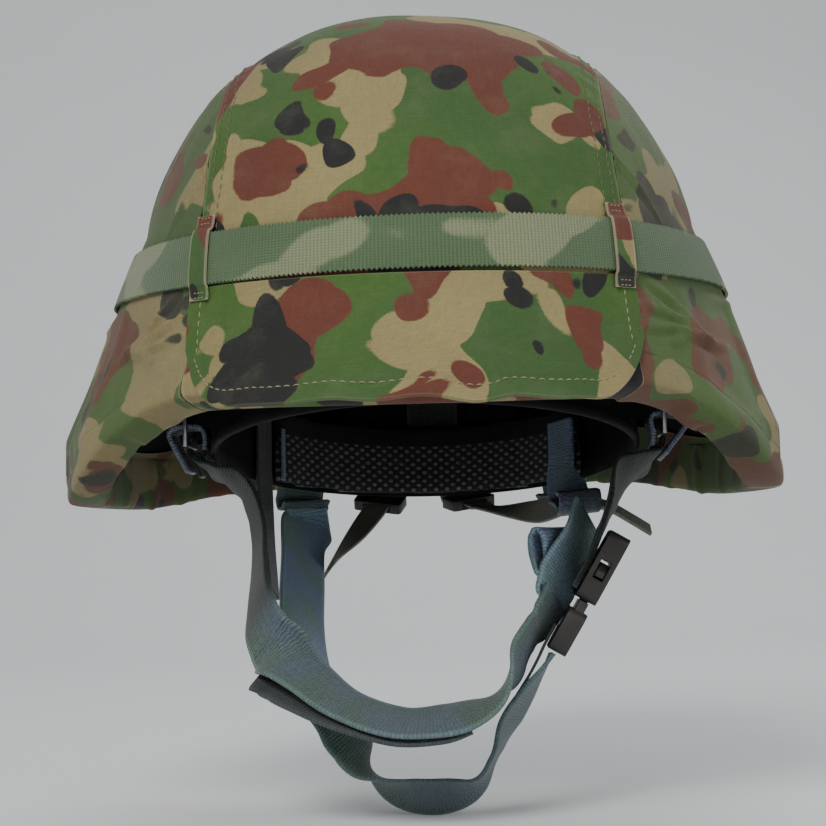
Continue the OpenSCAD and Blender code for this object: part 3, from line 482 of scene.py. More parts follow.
# Short names for the nodes that the materials use. Sockets are named, or numbered as i0, i1 and so on.
class Graph:
    def __init__(self, tree):
        self.tree = tree

    def set(self, made, **sockets):
        for key, value in sockets.items():
            numbered = key[0] == "i" and key[1:].isdigit()
            socket = made.inputs[int(key[1:]) if numbered else key.replace("_", " ")]
            if isinstance(value, bpy.types.NodeSocket):
                self.tree.links.new(value, socket)
            else:
                socket.default_value = value
        return made

    def add(self, kind, props=None, **sockets):
        made = self.tree.nodes.new("ShaderNode" + kind)
        for key, value in (props or {}).items():
            setattr(made, key, value)
        return self.set(made, **sockets)

    def calc(self, operation, *values):
        return self.add("Math", {"operation": operation}, **{f"i{i}": v for i, v in enumerate(values)}).outputs[0]

    def times(self, a, b):
        return self.calc("MULTIPLY", a, b)

    def plus(self, a, b):
        return self.calc("ADD", a, b)

    def minus(self, a, b):
        return self.calc("SUBTRACT", a, b)

    # The value times a number, with another number on top.
    def line(self, value, times, plus):
        return self.calc("MULTIPLY_ADD", value, times, plus)

    def size(self, value):
        return self.calc("ABSOLUTE", value)

    def wave(self, value, times):
        return self.calc("SINE", self.times(value, times))

    def ribs(self, value, times):
        return self.size(self.wave(value, times))

    def mix(self, share, a, b, blend="MIX"):
        made = self.add("Mix", {"data_type": "RGBA", "blend_type": blend}, i0=share, i6=a, i7=b)
        return made.outputs[2]

    # The colour, darker or lighter by a tone.
    def toned(self, color, tone):
        return self.mix(1.0, color, self.add("CombineColor", None, i0=tone, i1=tone, i2=tone).outputs[0], "MULTIPLY")

    def noise(self, vector, scale, detail=1.0, rough=0.5):
        made = self.add("TexNoise", None, Vector=vector, Scale=scale, Detail=detail, Roughness=rough)
        return made.outputs[0]

    def lobes(self, vector, scale, **props):
        spread = self.add("TexVoronoi", props, Vector=vector, Scale=scale).outputs["Distance"]
        return self.minus(0.5, spread)

    def span(self, value, lo, hi, a=0.0, b=1.0):
        made = self.add("MapRange", {"interpolation_type": "SMOOTHSTEP"}, i0=value, i1=lo, i2=hi, i3=a, i4=b)
        return made.outputs[0]

    def moved(self, vector, **change):
        return self.add("Mapping", None, Vector=vector, **change).outputs[0]

    def parts(self, vector):
        return self.add("SeparateXYZ", None, i0=vector).outputs

    def group(self, tree, **sockets):
        made = self.tree.nodes.new("ShaderNodeGroup")
        made.node_tree = tree
        return self.set(made, **sockets).outputs

    def place(self):
        return self.add("TexCoord").outputs["Object"]

    def cloth(self):
        return self.add("UVMap", {"uv_map": "cloth"}).outputs[0]

    def rubbed(self, lo, hi, a=0.0, b=1.0):
        return self.span(self.add("NewGeometry").outputs["Pointiness"], lo, hi, a, b)

    def bump(self, height, distance, strength, **under):
        return self.add("Bump", None, Height=height, Distance=distance, Strength=strength, **under).outputs[0]


# A node group from its inputs and from the function that makes its outputs.
def newGroup(name, inputs, outputs, fill):
    tree = bpy.data.node_groups.new(name, "ShaderNodeTree")
    for label, kind, value in inputs:
        socket = tree.interface.new_socket(label, in_out="INPUT", socket_type="NodeSocket" + kind)
        if value is not None:
            socket.default_value = value
    for label, kind in outputs:
        tree.interface.new_socket(label, in_out="OUTPUT", socket_type="NodeSocket" + kind)
    start, end = tree.nodes.new("NodeGroupInput"), tree.nodes.new("NodeGroupOutput")
    made = fill(Graph(tree), *list(start.outputs)[:len(inputs)])
    for value, (label, kind) in zip(made, outputs):
        tree.links.new(value, end.inputs[label])
    return tree


# Plain weave along the cloth's own coordinates: a height, and a shade from thread to thread.
def fillWeave(g, cloth, thread):
    u, v, _ = g.parts(cloth)
    su, sv = [g.wave(g.calc("DIVIDE", x, thread), math.pi) for x in (u, v)]
    over = g.line(g.times(su, sv), 0.5, 0.5)
    height = g.plus(g.times(g.size(su), over), g.times(g.size(sv), g.minus(1.0, over)))
    slubs = [g.noise(g.moved(cloth, Scale=scale), 1.0, 2.0) for scale in ((900, 260, 1), (240, 950, 1))]
    return height, g.times(g.plus(*slubs), 0.5)


# Rounded, lobed blotches in three colours over green, laid out by noise.
# Each colour has two tones; "above" is the noise level past which it shows.
blotches = {
    "green": {"tones": ((60, 90, 36), (52, 80, 40))},
    "tan": {"tones": ((138, 126, 84), (124, 112, 78)), "shift": 30.0, "seed": 1.7, "scale": 29.0, "above": 0.552,
            "lobes": 58.0, "share": 0.24},
    "brown": {"tones": ((95, 49, 35), (86, 42, 36)), "shift": 26.0, "seed": 5.3, "scale": 31.0, "above": 0.557,
              "lobes": 60.0, "share": 0.24},
    "black": {"tones": ((24, 24, 28), (24, 24, 28)), "shift": 26.0, "seed": 9.1, "scale": 27.0, "above": 0.628,
              "lobes": 68.0, "share": 0.32},
}


def fillBlotches(g, place, offset):
    spot = g.add("VectorMath", {"operation": "ADD"}, i0=place, i1=offset).outputs[0]
    wobble = g.add("TexNoise", None, Vector=spot, Scale=60.0, Detail=0.0).outputs[1]
    push = g.add("VectorMath", {"operation": "MULTIPLY_ADD"}, i0=wobble, i1=(0.012, 0.012, 0.012), i2=spot).outputs[0]
    fuzz = g.times(g.minus(g.noise(spot, 1300.0, 2.0), 0.5), 0.014)
    color = g.mix(g.span(g.noise(spot, 14.0), 0.35, 0.65), *[paint(*tone) for tone in blotches["green"]["tones"]])
    for kind in ("tan", "brown", "black"):
        v = blotches[kind]
        at = g.moved(push, Location=(v["seed"], v["seed"] * 0.37, -v["seed"] * 0.81))
        field = g.plus(g.noise(at, v["scale"], 0.0), g.times(g.lobes(at, v["lobes"]), v["share"]))
        share = g.span(g.plus(field, fuzz), v["above"] - 0.007, v["above"] + 0.007)
        color = g.mix(share, color, g.mix(g.noise(spot, v["shift"]), *[paint(*tone) for tone in v["tones"]]))
    return [color]


# Webbing: cross ribs, a painted glint (a painted highlight) on the rib tops of some threads and two edge cords.
def fillWebbing(g, cloth, pitch, half):
    u, v, _ = g.parts(cloth)
    slant = g.plus(u, g.times(g.ribs(v, 900.0), 0.0004))
    rib = g.ribs(g.calc("DIVIDE", slant, pitch), math.pi)
    grain = g.noise(g.moved(cloth, Scale=(420, 1400, 1)), 1.0, 3.0, 0.6)
    edge = g.span(g.size(g.calc("DIVIDE", v, half)), 0.82, 0.9)
    return g.line(g.ribs(v, 4200.0), 0.25, rib), g.times(g.span(grain, 0.5, 0.68), rib), edge


weaveGroup = newGroup("weave", [("Cloth", "Vector", None), ("Thread", "Float", 0.0006)],
                      [("Height", "Float"), ("Shade", "Float")], fillWeave)
blotchGroup = newGroup("blotches", [("Place", "Vector", None), ("Offset", "Vector", None)],
                       [("Color", "Color")], fillBlotches)
webbingGroup = newGroup("webbing", [("Cloth", "Vector", None), ("Pitch", "Float", 0.0011), ("Half", "Float", 0.011)],
                        [("Height", "Float"), ("PaintedGlint", "Float"), ("Edge", "Float")], fillWebbing)


def startMaterial(name):
    made = bpy.data.materials.new(name)
    made.use_nodes = True
    made.node_tree.nodes.clear()
    g = Graph(made.node_tree)
    body = g.add("BsdfPrincipled")
    g.add("OutputMaterial", None, i0=body.outputs[0])
    return made, g, body


# The printed cover cloth. Each panel was cut from another place in the roll.
def clothMaterial(name, offset, sheen=0.12, fadeAndPaintedLight=0.04, edge=0.25, paintedShadeDim=1.0):
    made, g, body = startMaterial(name)
    place = g.place()
    height, shade = g.group(weaveGroup, Cloth=g.cloth(), Thread=0.0007)
    worn = g.span(g.noise(place, 60.0, 4.0, 0.65), 0.45, 0.75)
    color = g.group(blotchGroup, Place=place, Offset=offset)[0]
    # A pale grey wash: worn patches by noise plus an even share. The side panels' larger share is a painted sheen,
    # and their lower dim is a painted shade.
    color = g.mix(g.line(worn, 0.12, fadeAndPaintedLight), color, paint(118, 118, 96))
    # The weave height darkens the thread valleys: painted shade. The slubs vary the tone at random.
    color = g.toned(color, g.times(g.line(shade, 0.55, 0.71), g.line(height, 0.22 * paintedShadeDim, 0.86 * paintedShadeDim)))
    color = g.mix(g.rubbed(0.54, 0.62, 0.0, edge), color, paint(176, 170, 142))
    crease = g.noise(g.moved(place, Scale=(1, 1, 0.6)), 120.0, 3.0, 0.55)
    g.set(body, Base_Color=color, Roughness=0.86, Sheen_Weight=sheen, Sheen_Roughness=0.35,
          Sheen_Tint=(0.9, 0.88, 0.8, 1), Specular_IOR_Level=0.25,
          Normal=g.bump(height, 0.00016, 0.7, Normal=g.bump(crease, 0.0007, 0.5)))
    return made


def elasticMaterial(name):
    made, g, body = startMaterial(name)
    cloth = g.cloth()
    u, v, _ = g.parts(cloth)
    lobes = g.times(g.lobes(g.moved(cloth, Scale=(1, 1.2, 1)), 62.0, voronoi_dimensions="2D"), 0.16)
    field = g.plus(g.noise(g.moved(cloth, Location=(0.35, 0.2, 0), Scale=(19, 34, 1)), 1.0, 0.0), lobes)
    patch = g.span(g.plus(field, g.times(g.noise(cloth, 1600.0, 2.0), 0.05)), 0.6, 0.635)
    base = g.mix(g.noise(g.moved(cloth, Scale=(20, 60, 1)), 1.0, 2.0), paint(64, 83, 54), paint(79, 98, 71))
    color = g.mix(g.times(patch, 0.8), base, paint(118, 124, 94))
    height = g.line(g.ribs(v, math.pi / 0.0009), 0.5, g.ribs(u, math.pi / 0.0012))
    # The rib height darkens the valleys between ribs: painted shade.
    g.set(body, Base_Color=g.toned(color, g.line(height, 0.26, 0.74)), Roughness=0.8, Sheen_Weight=0.15,
          Specular_IOR_Level=0.3, Normal=g.bump(height, 0.00025, 0.8))
    return made


# Three tones: the base, its slow change and the painted glint, a painted highlight colour. With a fade, they turn
# into three others along the strap, where painted shade gives way to the lit tones.
def webbingMaterial(name, *tones, half=11.0, pitch=1.15, rough=0.62, shine=0.35, fadeAndPaintedLight=None):
    made, g, body = startMaterial(name)
    cloth = g.cloth()
    base, other, paintedGlint = [paint(*tone) for tone in tones]
    if fadeAndPaintedLight:
        share = g.span(g.parts(cloth)[0], fadeAndPaintedLight["start"], fadeAndPaintedLight["end"])
        base, other, paintedGlint = [g.mix(share, paint(*near), paint(*far)) for near, far in zip(tones, fadeAndPaintedLight["tones"])]
    height, paintedGlintShare, edge = g.group(webbingGroup, Cloth=cloth, Pitch=pitch / 1000, Half=half / 1000)
    color = g.mix(g.span(g.noise(g.place(), 34.0, 2.0, 0.6), 0.4, 0.6), base, other)
    # Random threads and the rib tops take the painted glint colour: painted highlights.
    threads = g.noise(g.moved(cloth, Scale=(700, 2600, 1)), 1.0, 2.0, 0.6)
    color = g.mix(g.span(threads, 0.4, 0.7, 0.0, 0.45), color, paintedGlint)
    # The rib height darkens the rib valleys: painted shade.
    color = g.toned(g.mix(g.times(paintedGlintShare, 0.5), color, paintedGlint), g.line(height, 0.32, 0.62))
    # The edge cords lean to the painted glint colour as well: a painted highlight on their round edges.
    g.set(body, Base_Color=g.mix(g.times(edge, 0.3), color, paintedGlint), Roughness=rough, Specular_IOR_Level=shine,
          Sheen_Weight=0.2, Normal=g.bump(height, 0.0003, 0.8))
    return made


def mouldedMaterial(name, base, rough, grain, wear, shine=0.4):
    made, g, body = startMaterial(name)
    place, base = g.place(), paint(*base)
    broad, light = g.noise(place, 90.0, 4.0, 0.6), lighter(base, 2.2, 0.02)
    color = g.mix(g.times(g.rubbed(0.53, 0.6), wear), base, light)
    g.set(body, Base_Color=g.mix(g.span(broad, 0.45, 0.75, 0.0, 0.25), color, light), Specular_IOR_Level=shine,
          Roughness=g.span(broad, 0.3, 0.7, rough - 0.07, rough + 0.12),
          Normal=g.bump(g.noise(place, 1500.0, 3.0, 0.6), 0.00005, grain))
    return made


def steelMaterial(name, base, metal=0.9, rough=0.38):
    made, g, body = startMaterial(name)
    scratch, bright = g.noise(g.moved(g.place(), Scale=(1500, 90, 300)), 1.0, 4.0, 0.7), paint(168, 170, 172)
    color = g.mix(g.times(g.rubbed(0.52, 0.58), 0.8), paint(*base), bright)
    g.set(body, Base_Color=g.mix(g.span(scratch, 0.62, 0.72, 0.0, 0.5), color, bright), Metallic=metal,
          Roughness=g.span(scratch, 0.3, 0.7, rough - 0.1, rough + 0.15), Normal=g.bump(scratch, 0.00004, 0.5))
    return made


# The pads: their seam's height and their sizes, less the room that swelling takes. The rear one's open end
# is bound at an angle round the headband with a tape of this width and thickness.
pads = {"seam": 5.5, "rearThick": 5, "browThick": 4, "tall": 29, "swellRoom": 1.2, "lowRoom": 1.5,
        "binding": -125.6, "tape": (2.2, 0.8)}


# Spacer mesh below the seam and plain black cloth above it, with a pale bound edge at the bottom.
def meshMaterial(name):
    made, g, body = startMaterial(name)
    cloth = g.cloth()
    u, v, _ = g.parts(cloth)
    pu, pv = g.times(u, math.pi / 0.0056), g.times(v, math.pi / 0.0034)
    knot = g.times(g.calc("SINE", g.plus(pu, pv)), g.calc("SINE", g.minus(pu, pv)))
    lit = g.span(g.size(knot), 0.45, 0.85)
    below = g.span(v, pads["seam"] / 1000 - 0.0004, pads["seam"] / 1000 + 0.0004, 1.0, 0.0)
    fine = g.noise(cloth, 2400.0, 2.0, 0.6)
    ground = g.mix(fine, paint(14, 14, 15), paint(38, 38, 39))
    net = g.mix(g.times(lit, g.span(fine, 0.3, 0.7, 0.5, 1.0)), ground, paint(104, 105, 108))
    color = g.mix(below, g.mix(fine, paint(11, 11, 12), paint(20, 20, 21)), net)
    foot = g.times(g.span(v, -0.0136, -0.0130, 1.0, 0.0), 0.7)
    g.set(body, Base_Color=g.mix(foot, color, paint(96, 96, 92)), Roughness=0.8, Sheen_Weight=0.1,
          Specular_IOR_Level=0.25, Normal=g.bump(g.times(lit, below), 0.0007, 0.9))
    return made


def leatherMaterial(name, base):
    made, g, body = startMaterial(name)
    place, base = g.place(), paint(*base)
    cells = g.add("TexVoronoi", {"feature": "DISTANCE_TO_EDGE"}, Vector=place, Scale=900.0).outputs[0]
    broad = g.noise(place, 60.0, 4.0, 0.6)
    g.set(body, Base_Color=g.mix(g.span(broad, 0.4, 0.7), base, lighter(base, 1.9)),
          Roughness=g.span(broad, 0.3, 0.7, 0.45, 0.62), Normal=g.bump(g.span(cells, 0.0, 0.2), 0.00012, 0.7))
    return made


def threadMaterial(name, *base):
    made, g, body = startMaterial(name)
    twist, base = g.noise(g.place(), 2600.0, 2.0, 0.6), paint(*base)
    g.set(body, Base_Color=g.mix(twist, lighter(base, 0.6), base), Roughness=0.7,
          Normal=g.bump(twist, 0.0001, 0.6))
    return made


# The shell's paint and the liner plastic are black, and made near-black still as painted shade of the helmet's
# inside.
shellBlackAndShade = mouldedMaterial("shell_black_and_shade", (11, 11, 11), 0.8, 0.9, 0.05, 0.2)
rubber = mouldedMaterial("rim_rubber", (13, 13, 13), 0.8, 0.7, 0.1, 0.2)
linerPlasticAndShade = mouldedMaterial("liner_plastic", (11, 11, 12), 0.75, 0.5, 0.1, 0.15)
bucklePlastic = mouldedMaterial("buckle_plastic", (40, 38, 36), 0.42, 0.5, 0.45)
sliderPlastic = mouldedMaterial("slider_plastic", (34, 33, 33), 0.45, 0.5, 0.35)
blackSteel = steelMaterial("black_steel", (52, 52, 54))
bracketSteel = steelMaterial("bracket_steel", (70, 72, 75), 0.9, 0.32)
centreCloth = clothMaterial("centre_cloth", (0, 0, 0))
# The side panels are copies of the cover cloth, paler and darker: painted sheen and painted shade of the grazing
# light on the sides.
leftClothPaintedLight = clothMaterial("left_cloth_painted_light", (0.31, 0.12, -0.2), 0.14, 0.2, 0.35, 0.86)
rightClothPaintedLight = clothMaterial("right_cloth_painted_light", (-0.27, 0.4, 0.15), 0.14, 0.2, 0.35, 0.86)
flapCloth = clothMaterial("flap_cloth", (0.1, -0.33, 0.27), edge=0.16)
loopCloth = clothMaterial("loop_cloth", (0.52, 0.2, 0.4), 0.2, 0.05, 0.6)
elasticWeave = elasticMaterial("elastic")
meshFabric = meshMaterial("spacer_mesh")
browLeather = leatherMaterial("brow_leather", (24, 21, 19))
paleThread = threadMaterial("pale_thread", 146, 138, 108)
oliveThread = threadMaterial("olive_thread", 104, 100, 72)
darkThread = threadMaterial("dark_thread", 58, 66, 52)
tealTones = ((60, 82, 70), (68, 80, 96), (104, 128, 122))
tealWeb = webbingMaterial("teal_webbing", *tealTones)
# The front straps are the chin strap's webbing, painted much darker as painted shade. Near their lower ends the
# painted shade gives way to the lit teal tones.
frontWebPaintedShade = webbingMaterial("front_webbing_painted_shade", (15, 26, 22), (20, 31, 29), (36, 52, 47), shine=0.2,
                           fadeAndPaintedLight={"start": 0.071, "end": 0.088, "tones": tealTones})
backWeb = webbingMaterial("backing_webbing", (92, 124, 120), (108, 128, 160), (158, 184, 196))
darkWeb = webbingMaterial("dark_webbing", (36, 42, 42), (40, 46, 52), (66, 76, 80), half=9.5)
# Darker green webbing: painted shade on the lower chin strap's down-facing side. The rear anchor loops use it too.
greenWeb = webbingMaterial("green_webbing", (48, 72, 60), (62, 78, 90), (94, 116, 116))
# The rear straps' webbing is made brighter: painted light that lifts them out of their shade.
rearWeb = webbingMaterial("rear_webbing", (88, 134, 108), (104, 128, 168), (156, 186, 190))
blueWeb = webbingMaterial("blue_webbing", (66, 90, 94), (80, 96, 122), (128, 148, 168))
paleWeb = webbingMaterial("pale_webbing", (84, 102, 104), (98, 106, 132), (150, 158, 180), half=9.0)
blackWeb = webbingMaterial("black_webbing", (22, 23, 24), (26, 26, 28), (48, 50, 52), half=10.0, pitch=1.0,
                           rough=0.5, shine=0.4)
# Lighter nape webbing: painted light on straps that lie in shadow.
napeWeb = webbingMaterial("nape_webbing", (92, 98, 88), (104, 104, 86), (138, 140, 124), half=5.0, pitch=0.9)
print("materials made")


# Screws go through the shell at these places; their holes go through the hangers too.
screws = {"angles": (-157, -90, -28, 28, 90, 157), "heights": (26, 30, 34, 34, 30, 26), "hole": 5.6,
          "hangerHole": 5.2, "from": -14, "shellTo": 3, "hangerTo": -6}


def addHoles(piece, diameter, low, high):
    cutters = []
    for a, z in zip(screws["angles"], screws["heights"]):
        at, out = onShell(a, z, 0), Vector(outwardAt(a, rowOf(z)))
        bpy.ops.mesh.primitive_cylinder_add(vertices=24, radius=diameter / 2000, depth=(high - low) / 1000)
        cutter = bpy.context.object
        cutter.rotation_euler = out.to_track_quat("Z", "Y").to_euler()
        cutter.location = Vector(at / 1000) + out * (low + high) / 2000
        cutters.append(cutter)
    bpy.context.view_layer.update()
    for cutter in cutters:
        modify(piece, "hole", "BOOLEAN", operation="DIFFERENCE", solver="FAST", object=cutter)
    bake(piece)
    for cutter in cutters:
        bpy.data.objects.remove(cutter, do_unlink=True)


def makeShell():
    count, upper, lower, topRow, turnRow = 180, 36, 12, 2.5, 80
    a = np.arange(count) * 360.0 / count
    high = np.linspace(topRow, turnRow, upper)
    rim = rowOf(rimHeight(a))
    f = np.concatenate([np.repeat(high[None], count, 0),
                        turnRow + (rim[:, None] - turnRow) * np.linspace(0, 1, lower + 1)[1:][None]], 1)
    angle = np.repeat(a[:, None], f.shape[1], 1)
    outer = skinAt(angle, f)
    inner = outer - shell["wall"] * outwardAt(angle, f)
    n, k = f.shape
    m = n * k
    faces = gridFaces(n, k, 0, True, True) + gridFaces(n, k, m, False, True)
    for i in range(n):
        h = (i + 1) % n
        faces.append([i * k + k - 1, h * k + k - 1, m + h * k + k - 1, m + i * k + k - 1])
        faces += [[2 * m, h * k, i * k], [2 * m + 1, m + i * k, m + h * k]]
    tops = [[0, 0, shell["crown"]], [0, 0, shell["crown"] - shell["wall"]]]
    piece = addMesh("shell_body", np.concatenate([outer.reshape(-1, 3), inner.reshape(-1, 3), tops]), faces)
    faceOutwards(piece)
    addHoles(piece, screws["hole"], screws["from"], screws["shellTo"])
    smoothFaces(piece.data, 40)
    settle(piece, "shell", shellBlackAndShade, "ballistic_shell", slot="shell_composite")


def addRing(name, grid):
    lengths = np.meshgrid(lengthAlong(grid[:, 0]), lengthAlong(grid[0]), indexing="ij")
    piece = addMesh(name, grid, tubeFaces(*grid.shape[:2], closed=True, ends=False), np.stack(lengths, -1))
    faceOutwards(piece)
    return piece


# A rubber edging round the rim, with its own thickness and the height it reaches up the shell.
trim = {"fit": 0.3, "wall": 1.2, "height": 4.5}


def makeTrim():
    t, fit, high = trim["wall"], trim["fit"], trim["height"]
    inside = -shell["wall"] - fit
    ring = closedRound([[high, fit], [high, fit + t], [-t, fit + t], [-t, inside - t], [high, inside - t],
                        [high, inside], [-fit, inside], [-fit, fit]], 2)
    a = np.arange(240) * 1.5
    grid = onShell(a[:, None], rimHeight(a)[:, None] + ring[None, :, 0], ring[None, :, 1] + 0 * a[:, None])
    settle(addRing("rim_edging", grid), "shell", rubber, "rim_trim", slot="rim_rubber")


makeShell()
makeTrim()
print("shell made")

# What lies on the shell, from the inside out: the cover, the band and the loops.
band = {"middle": 46, "width": 16, "thick": 1.2, "teeth": 0.35, "count": 1000}
bandHalf = band["width"] / 2
coverOut = cover["gap"] + cover["cloth"]
trimOut = trim["fit"] + trim["wall"]
trimIn = -shell["wall"] - trimOut
bandIn = coverOut + cover["sideEase"] + 0.8
bandOut = bandIn + band["thick"]
loopIn = bandOut + 0.5
flapOut = coverOut + 0.5 + cover["cloth"]
# The cover's way round the rim, as heights above it and distances from the shell.
rimOver = rounded([[9, coverOut], [5.5, trimOut + 1.3], [-1, trimOut + 1.4], [-2.5, 0.6],
                   [-2.5, -shell["wall"] - 0.6], [-1, trimIn - 1.5], [6, trimIn - 1.3],
                   [cover["turnIn"], -shell["wall"] - coverOut]])


def bumpAt(x, middle, spread):
    return np.exp(-np.square((x - middle) / spread))


def nearBand(z):
    return np.exp(-np.power(np.abs(z - band["middle"]) / (bandHalf + 5), 4))


def makeCentrePanel():
    edge, start = cover["panelEdge"], cover["fanFrom"]
    t0 = math.degrees(math.atan2(start - shell["waist"], shell["front"]))
    t1 = 180 - math.degrees(math.atan2(start - shell["waist"], shell["rear"]))
    fans = t0 + (t1 - t0) * np.linspace(0, 1, 170)[1:-1]
    k = np.linspace(-edge, edge, 97)
    front, ends = rimOver[::-1], []
    for rear, rim in ((False, shell["rimBrow"]), (True, shell["rimNape"])):
        z = np.concatenate([rim + front[:, 0], np.linspace(rim + 11, start, 12)])
        o = np.concatenate([front[:, 1], np.full(12, coverOut)])
        kk, zz = np.meshgrid(k, z, indexing="ij")
        ends.append(lowPanel(kk, zz, np.repeat(o[None], len(k), 0), rear))
    kk, tt = np.meshgrid(k, fans, indexing="ij")
    grid = np.concatenate([ends[0], onFan(kk, tt, coverOut), ends[1][:, ::-1]], 1)
    normal = outwardNormals(grid)
    fromSeam = (edge - np.abs(k))[:, None] * seamX(grid[..., 2])
    lap = 0.55 * (1 - eased(fromSeam, 6.2, 7.2))
    quiet = (1 - 0.85 * nearBand(grid[..., 2])) * eased(grid[..., 2], 6, 24)
    wave = cover["waves"] * ripple(grid, 3, 70) + 0.12 * ripple(grid, 4, 22)
    along = grid[..., 1] + 0.6 * grid[..., 2]
    pucker = 0.22 * np.sin(along / 2.1 + 2 * np.sin(along / 9)) * bumpAt(fromSeam, 4, 3.5)
    grid = grid + normal * ((wave + lap + pucker) * quiet)[..., None]
    piece = addSheet("cover_crown", grid, cover["cloth"])
    settle(piece, "shell", centreCloth, "cover_centre_panel", slot="cover_cloth")
    rows = slice(len(front) + 10, grid.shape[1] - len(front) - 10)
    lines = []
    for sign in (-1, 1):
        for back in (2.2, 5.4):
            spot = np.interp(((edge - back / seamX(grid[0, rows, 2])) * sign).mean(), k, np.arange(len(k)))
            low = int(np.floor(spot))
            line = grid[low, rows] * (1 - spot + low) + grid[low + 1, rows] * (spot - low)
            lines.append((line + 0.12 * normal[low, rows], normal[low, rows]))
    settle(addStitches("crown_stitches", lines, *stitches["crown"]), "shell", oliveThread, slot="cover_cloth")


# The angle at which a side panel's edge is clear of the seam, both at the rim and above it.
def corner(lo, hi):
    def clear(a):
        return all(halfWidthAt(a, rimHeight(a) + up) - seamX(rimHeight(a) + up) > 0.7 for up in (0, 17))

    return sum(borderOf(lo, hi, clear, 14)) / 2


# A long crease over the ears: its height and fall towards the back, its size, and where it starts and ends.
crease = {"height": 33, "fall": 0.07, "size": 1.2, "width": 2.0, "starts": (50, 66), "ends": (108, 122)}
# Slanting tucks beside the flap: slope, height at their start, size, middle angle and reach.
tucks = ((-1.5, 38, 1.9, 42, 7), (-0.7, 28, 1.6, 45, 8), (-0.25, 21, 2.1, 46, 8), (0.35, 14, 1.4, 44, 6),
         (-2.2, 74, 1.3, 41, 6))


def makeSidePanel(name, node, sign, material, seed, lap):
    a0 = corner(20, 60)
    span = corner(160, 120) - a0
    u = np.linspace(0, 1, 181)
    a = a0 + span * (0.45 * u + 0.275 * (1 - np.cos(np.pi * u)))
    rim = rimHeight(a)[:, None]
    top = seamRow(a, rim[:, 0] + 17)[:, None]
    upper = 92
    share = np.linspace(0, 1, upper)
    z = top + (rim + 13.5 - top) * share[None]
    o = coverOut + cover["sideEase"] * (2 - share)[None] + 0 * z
    lower = rimOver[:, 1] + np.where(rimOver[:, 0] > 8.5, cover["sideEase"], 0)
    zz = np.concatenate([z, rim + rimOver[None, :, 0]], 1)
    oo = np.concatenate([o, lower[None] + 0 * rim], 1)
    aa = np.repeat(a[:, None], zz.shape[1], 1)
    behind, low = a0 + span - aa, eased(38 - zz, 0, 10)
    turn = -lap * (1 - eased(aa - a0, 0, 7)) * eased(28 - zz, 0, 14) + 1.6 * (1 - eased(behind, 0, 5)) * low
    grid = onShell((aa + turn) * sign, zz, oo - 0.9 * (1 - eased(behind, 1.0, 3.0)) * low * (oo > 0))
    normal = outwardNormals(grid)
    h = zz - rim
    outside = oo > -1
    phase = aa + 0.35 * np.sin(zz / 11 + seed)
    ridges = np.sin(phase / 2.7 + seed) + 0.7 * np.sin(phase / 1.55 + 2.1 * seed)
    ridges = (ridges + 0.6 * np.sin(phase / 4.3 + 3.3 * seed)) / 1.5
    below = eased(38 - zz, 0, 7) * eased(h, 2, 9) * outside
    folds = cover["folds"] * below * np.power(np.clip(ridges, 0, None), 1.4)
    at = crease["height"] - crease["fall"] * np.maximum(aa - 60, 0) + 1.5 * np.sin(aa / 13 + seed)
    length = eased(aa, *crease["starts"]) * (1 - eased(aa, *crease["ends"]))
    folds = folds + crease["size"] * bumpAt(zz, at, crease["width"]) * length * outside
    for slope, start, size, middle, reach in tucks:
        line = start + slope * (aa - 38) + 0.8 * np.sin(aa / 2.3 + seed)
        fold = size * (bumpAt(zz, line, 1.5) - 0.45 * bumpAt(zz, line - 2.9, 1.3)) + 0.35 * bumpAt(zz, line, 6)
        folds = folds + fold * bumpAt(aa, middle, reach) * outside
    turned = (oo < -8.5) * np.clip(np.sin(aa / 1.9 + seed) + 0.6 * np.sin(aa / 0.83 + 2 * seed), 0, None) * 0.5
    wave = cover["waves"] * ripple(grid, 20 + seed, 60) + 0.15 * ripple(grid, 30 + seed, 20)
    wave = wave * (1 - 0.85 * nearBand(zz)) * outside * eased(h, 2, 12)
    grid = grid + normal * (wave + folds * (1 - 0.97 * nearBand(zz)) + turned * eased(22 - h, 2, 8))[..., None]
    along, down = arcLengths(grid, 0), arcLengths(grid, 1)
    middle = slice(upper - 4, upper - 3)
    threads = np.stack([np.repeat(along[:, middle], grid.shape[1], 1), down - down[:, middle]], -1)
    piece = addSheet(name, grid, cover["cloth"], uvs=threads)
    settle(piece, "shell", material, node, slot="cover_cloth")


flap = {"low": -5.6, "hem": 6.5, "hemThick": 0.5, "sideHem": 5.7, "sideHemThick": 0.45, "lift": 2.3, "waves": 0.5,
        "corner": 22, "droop": 1.7, "width": 78}


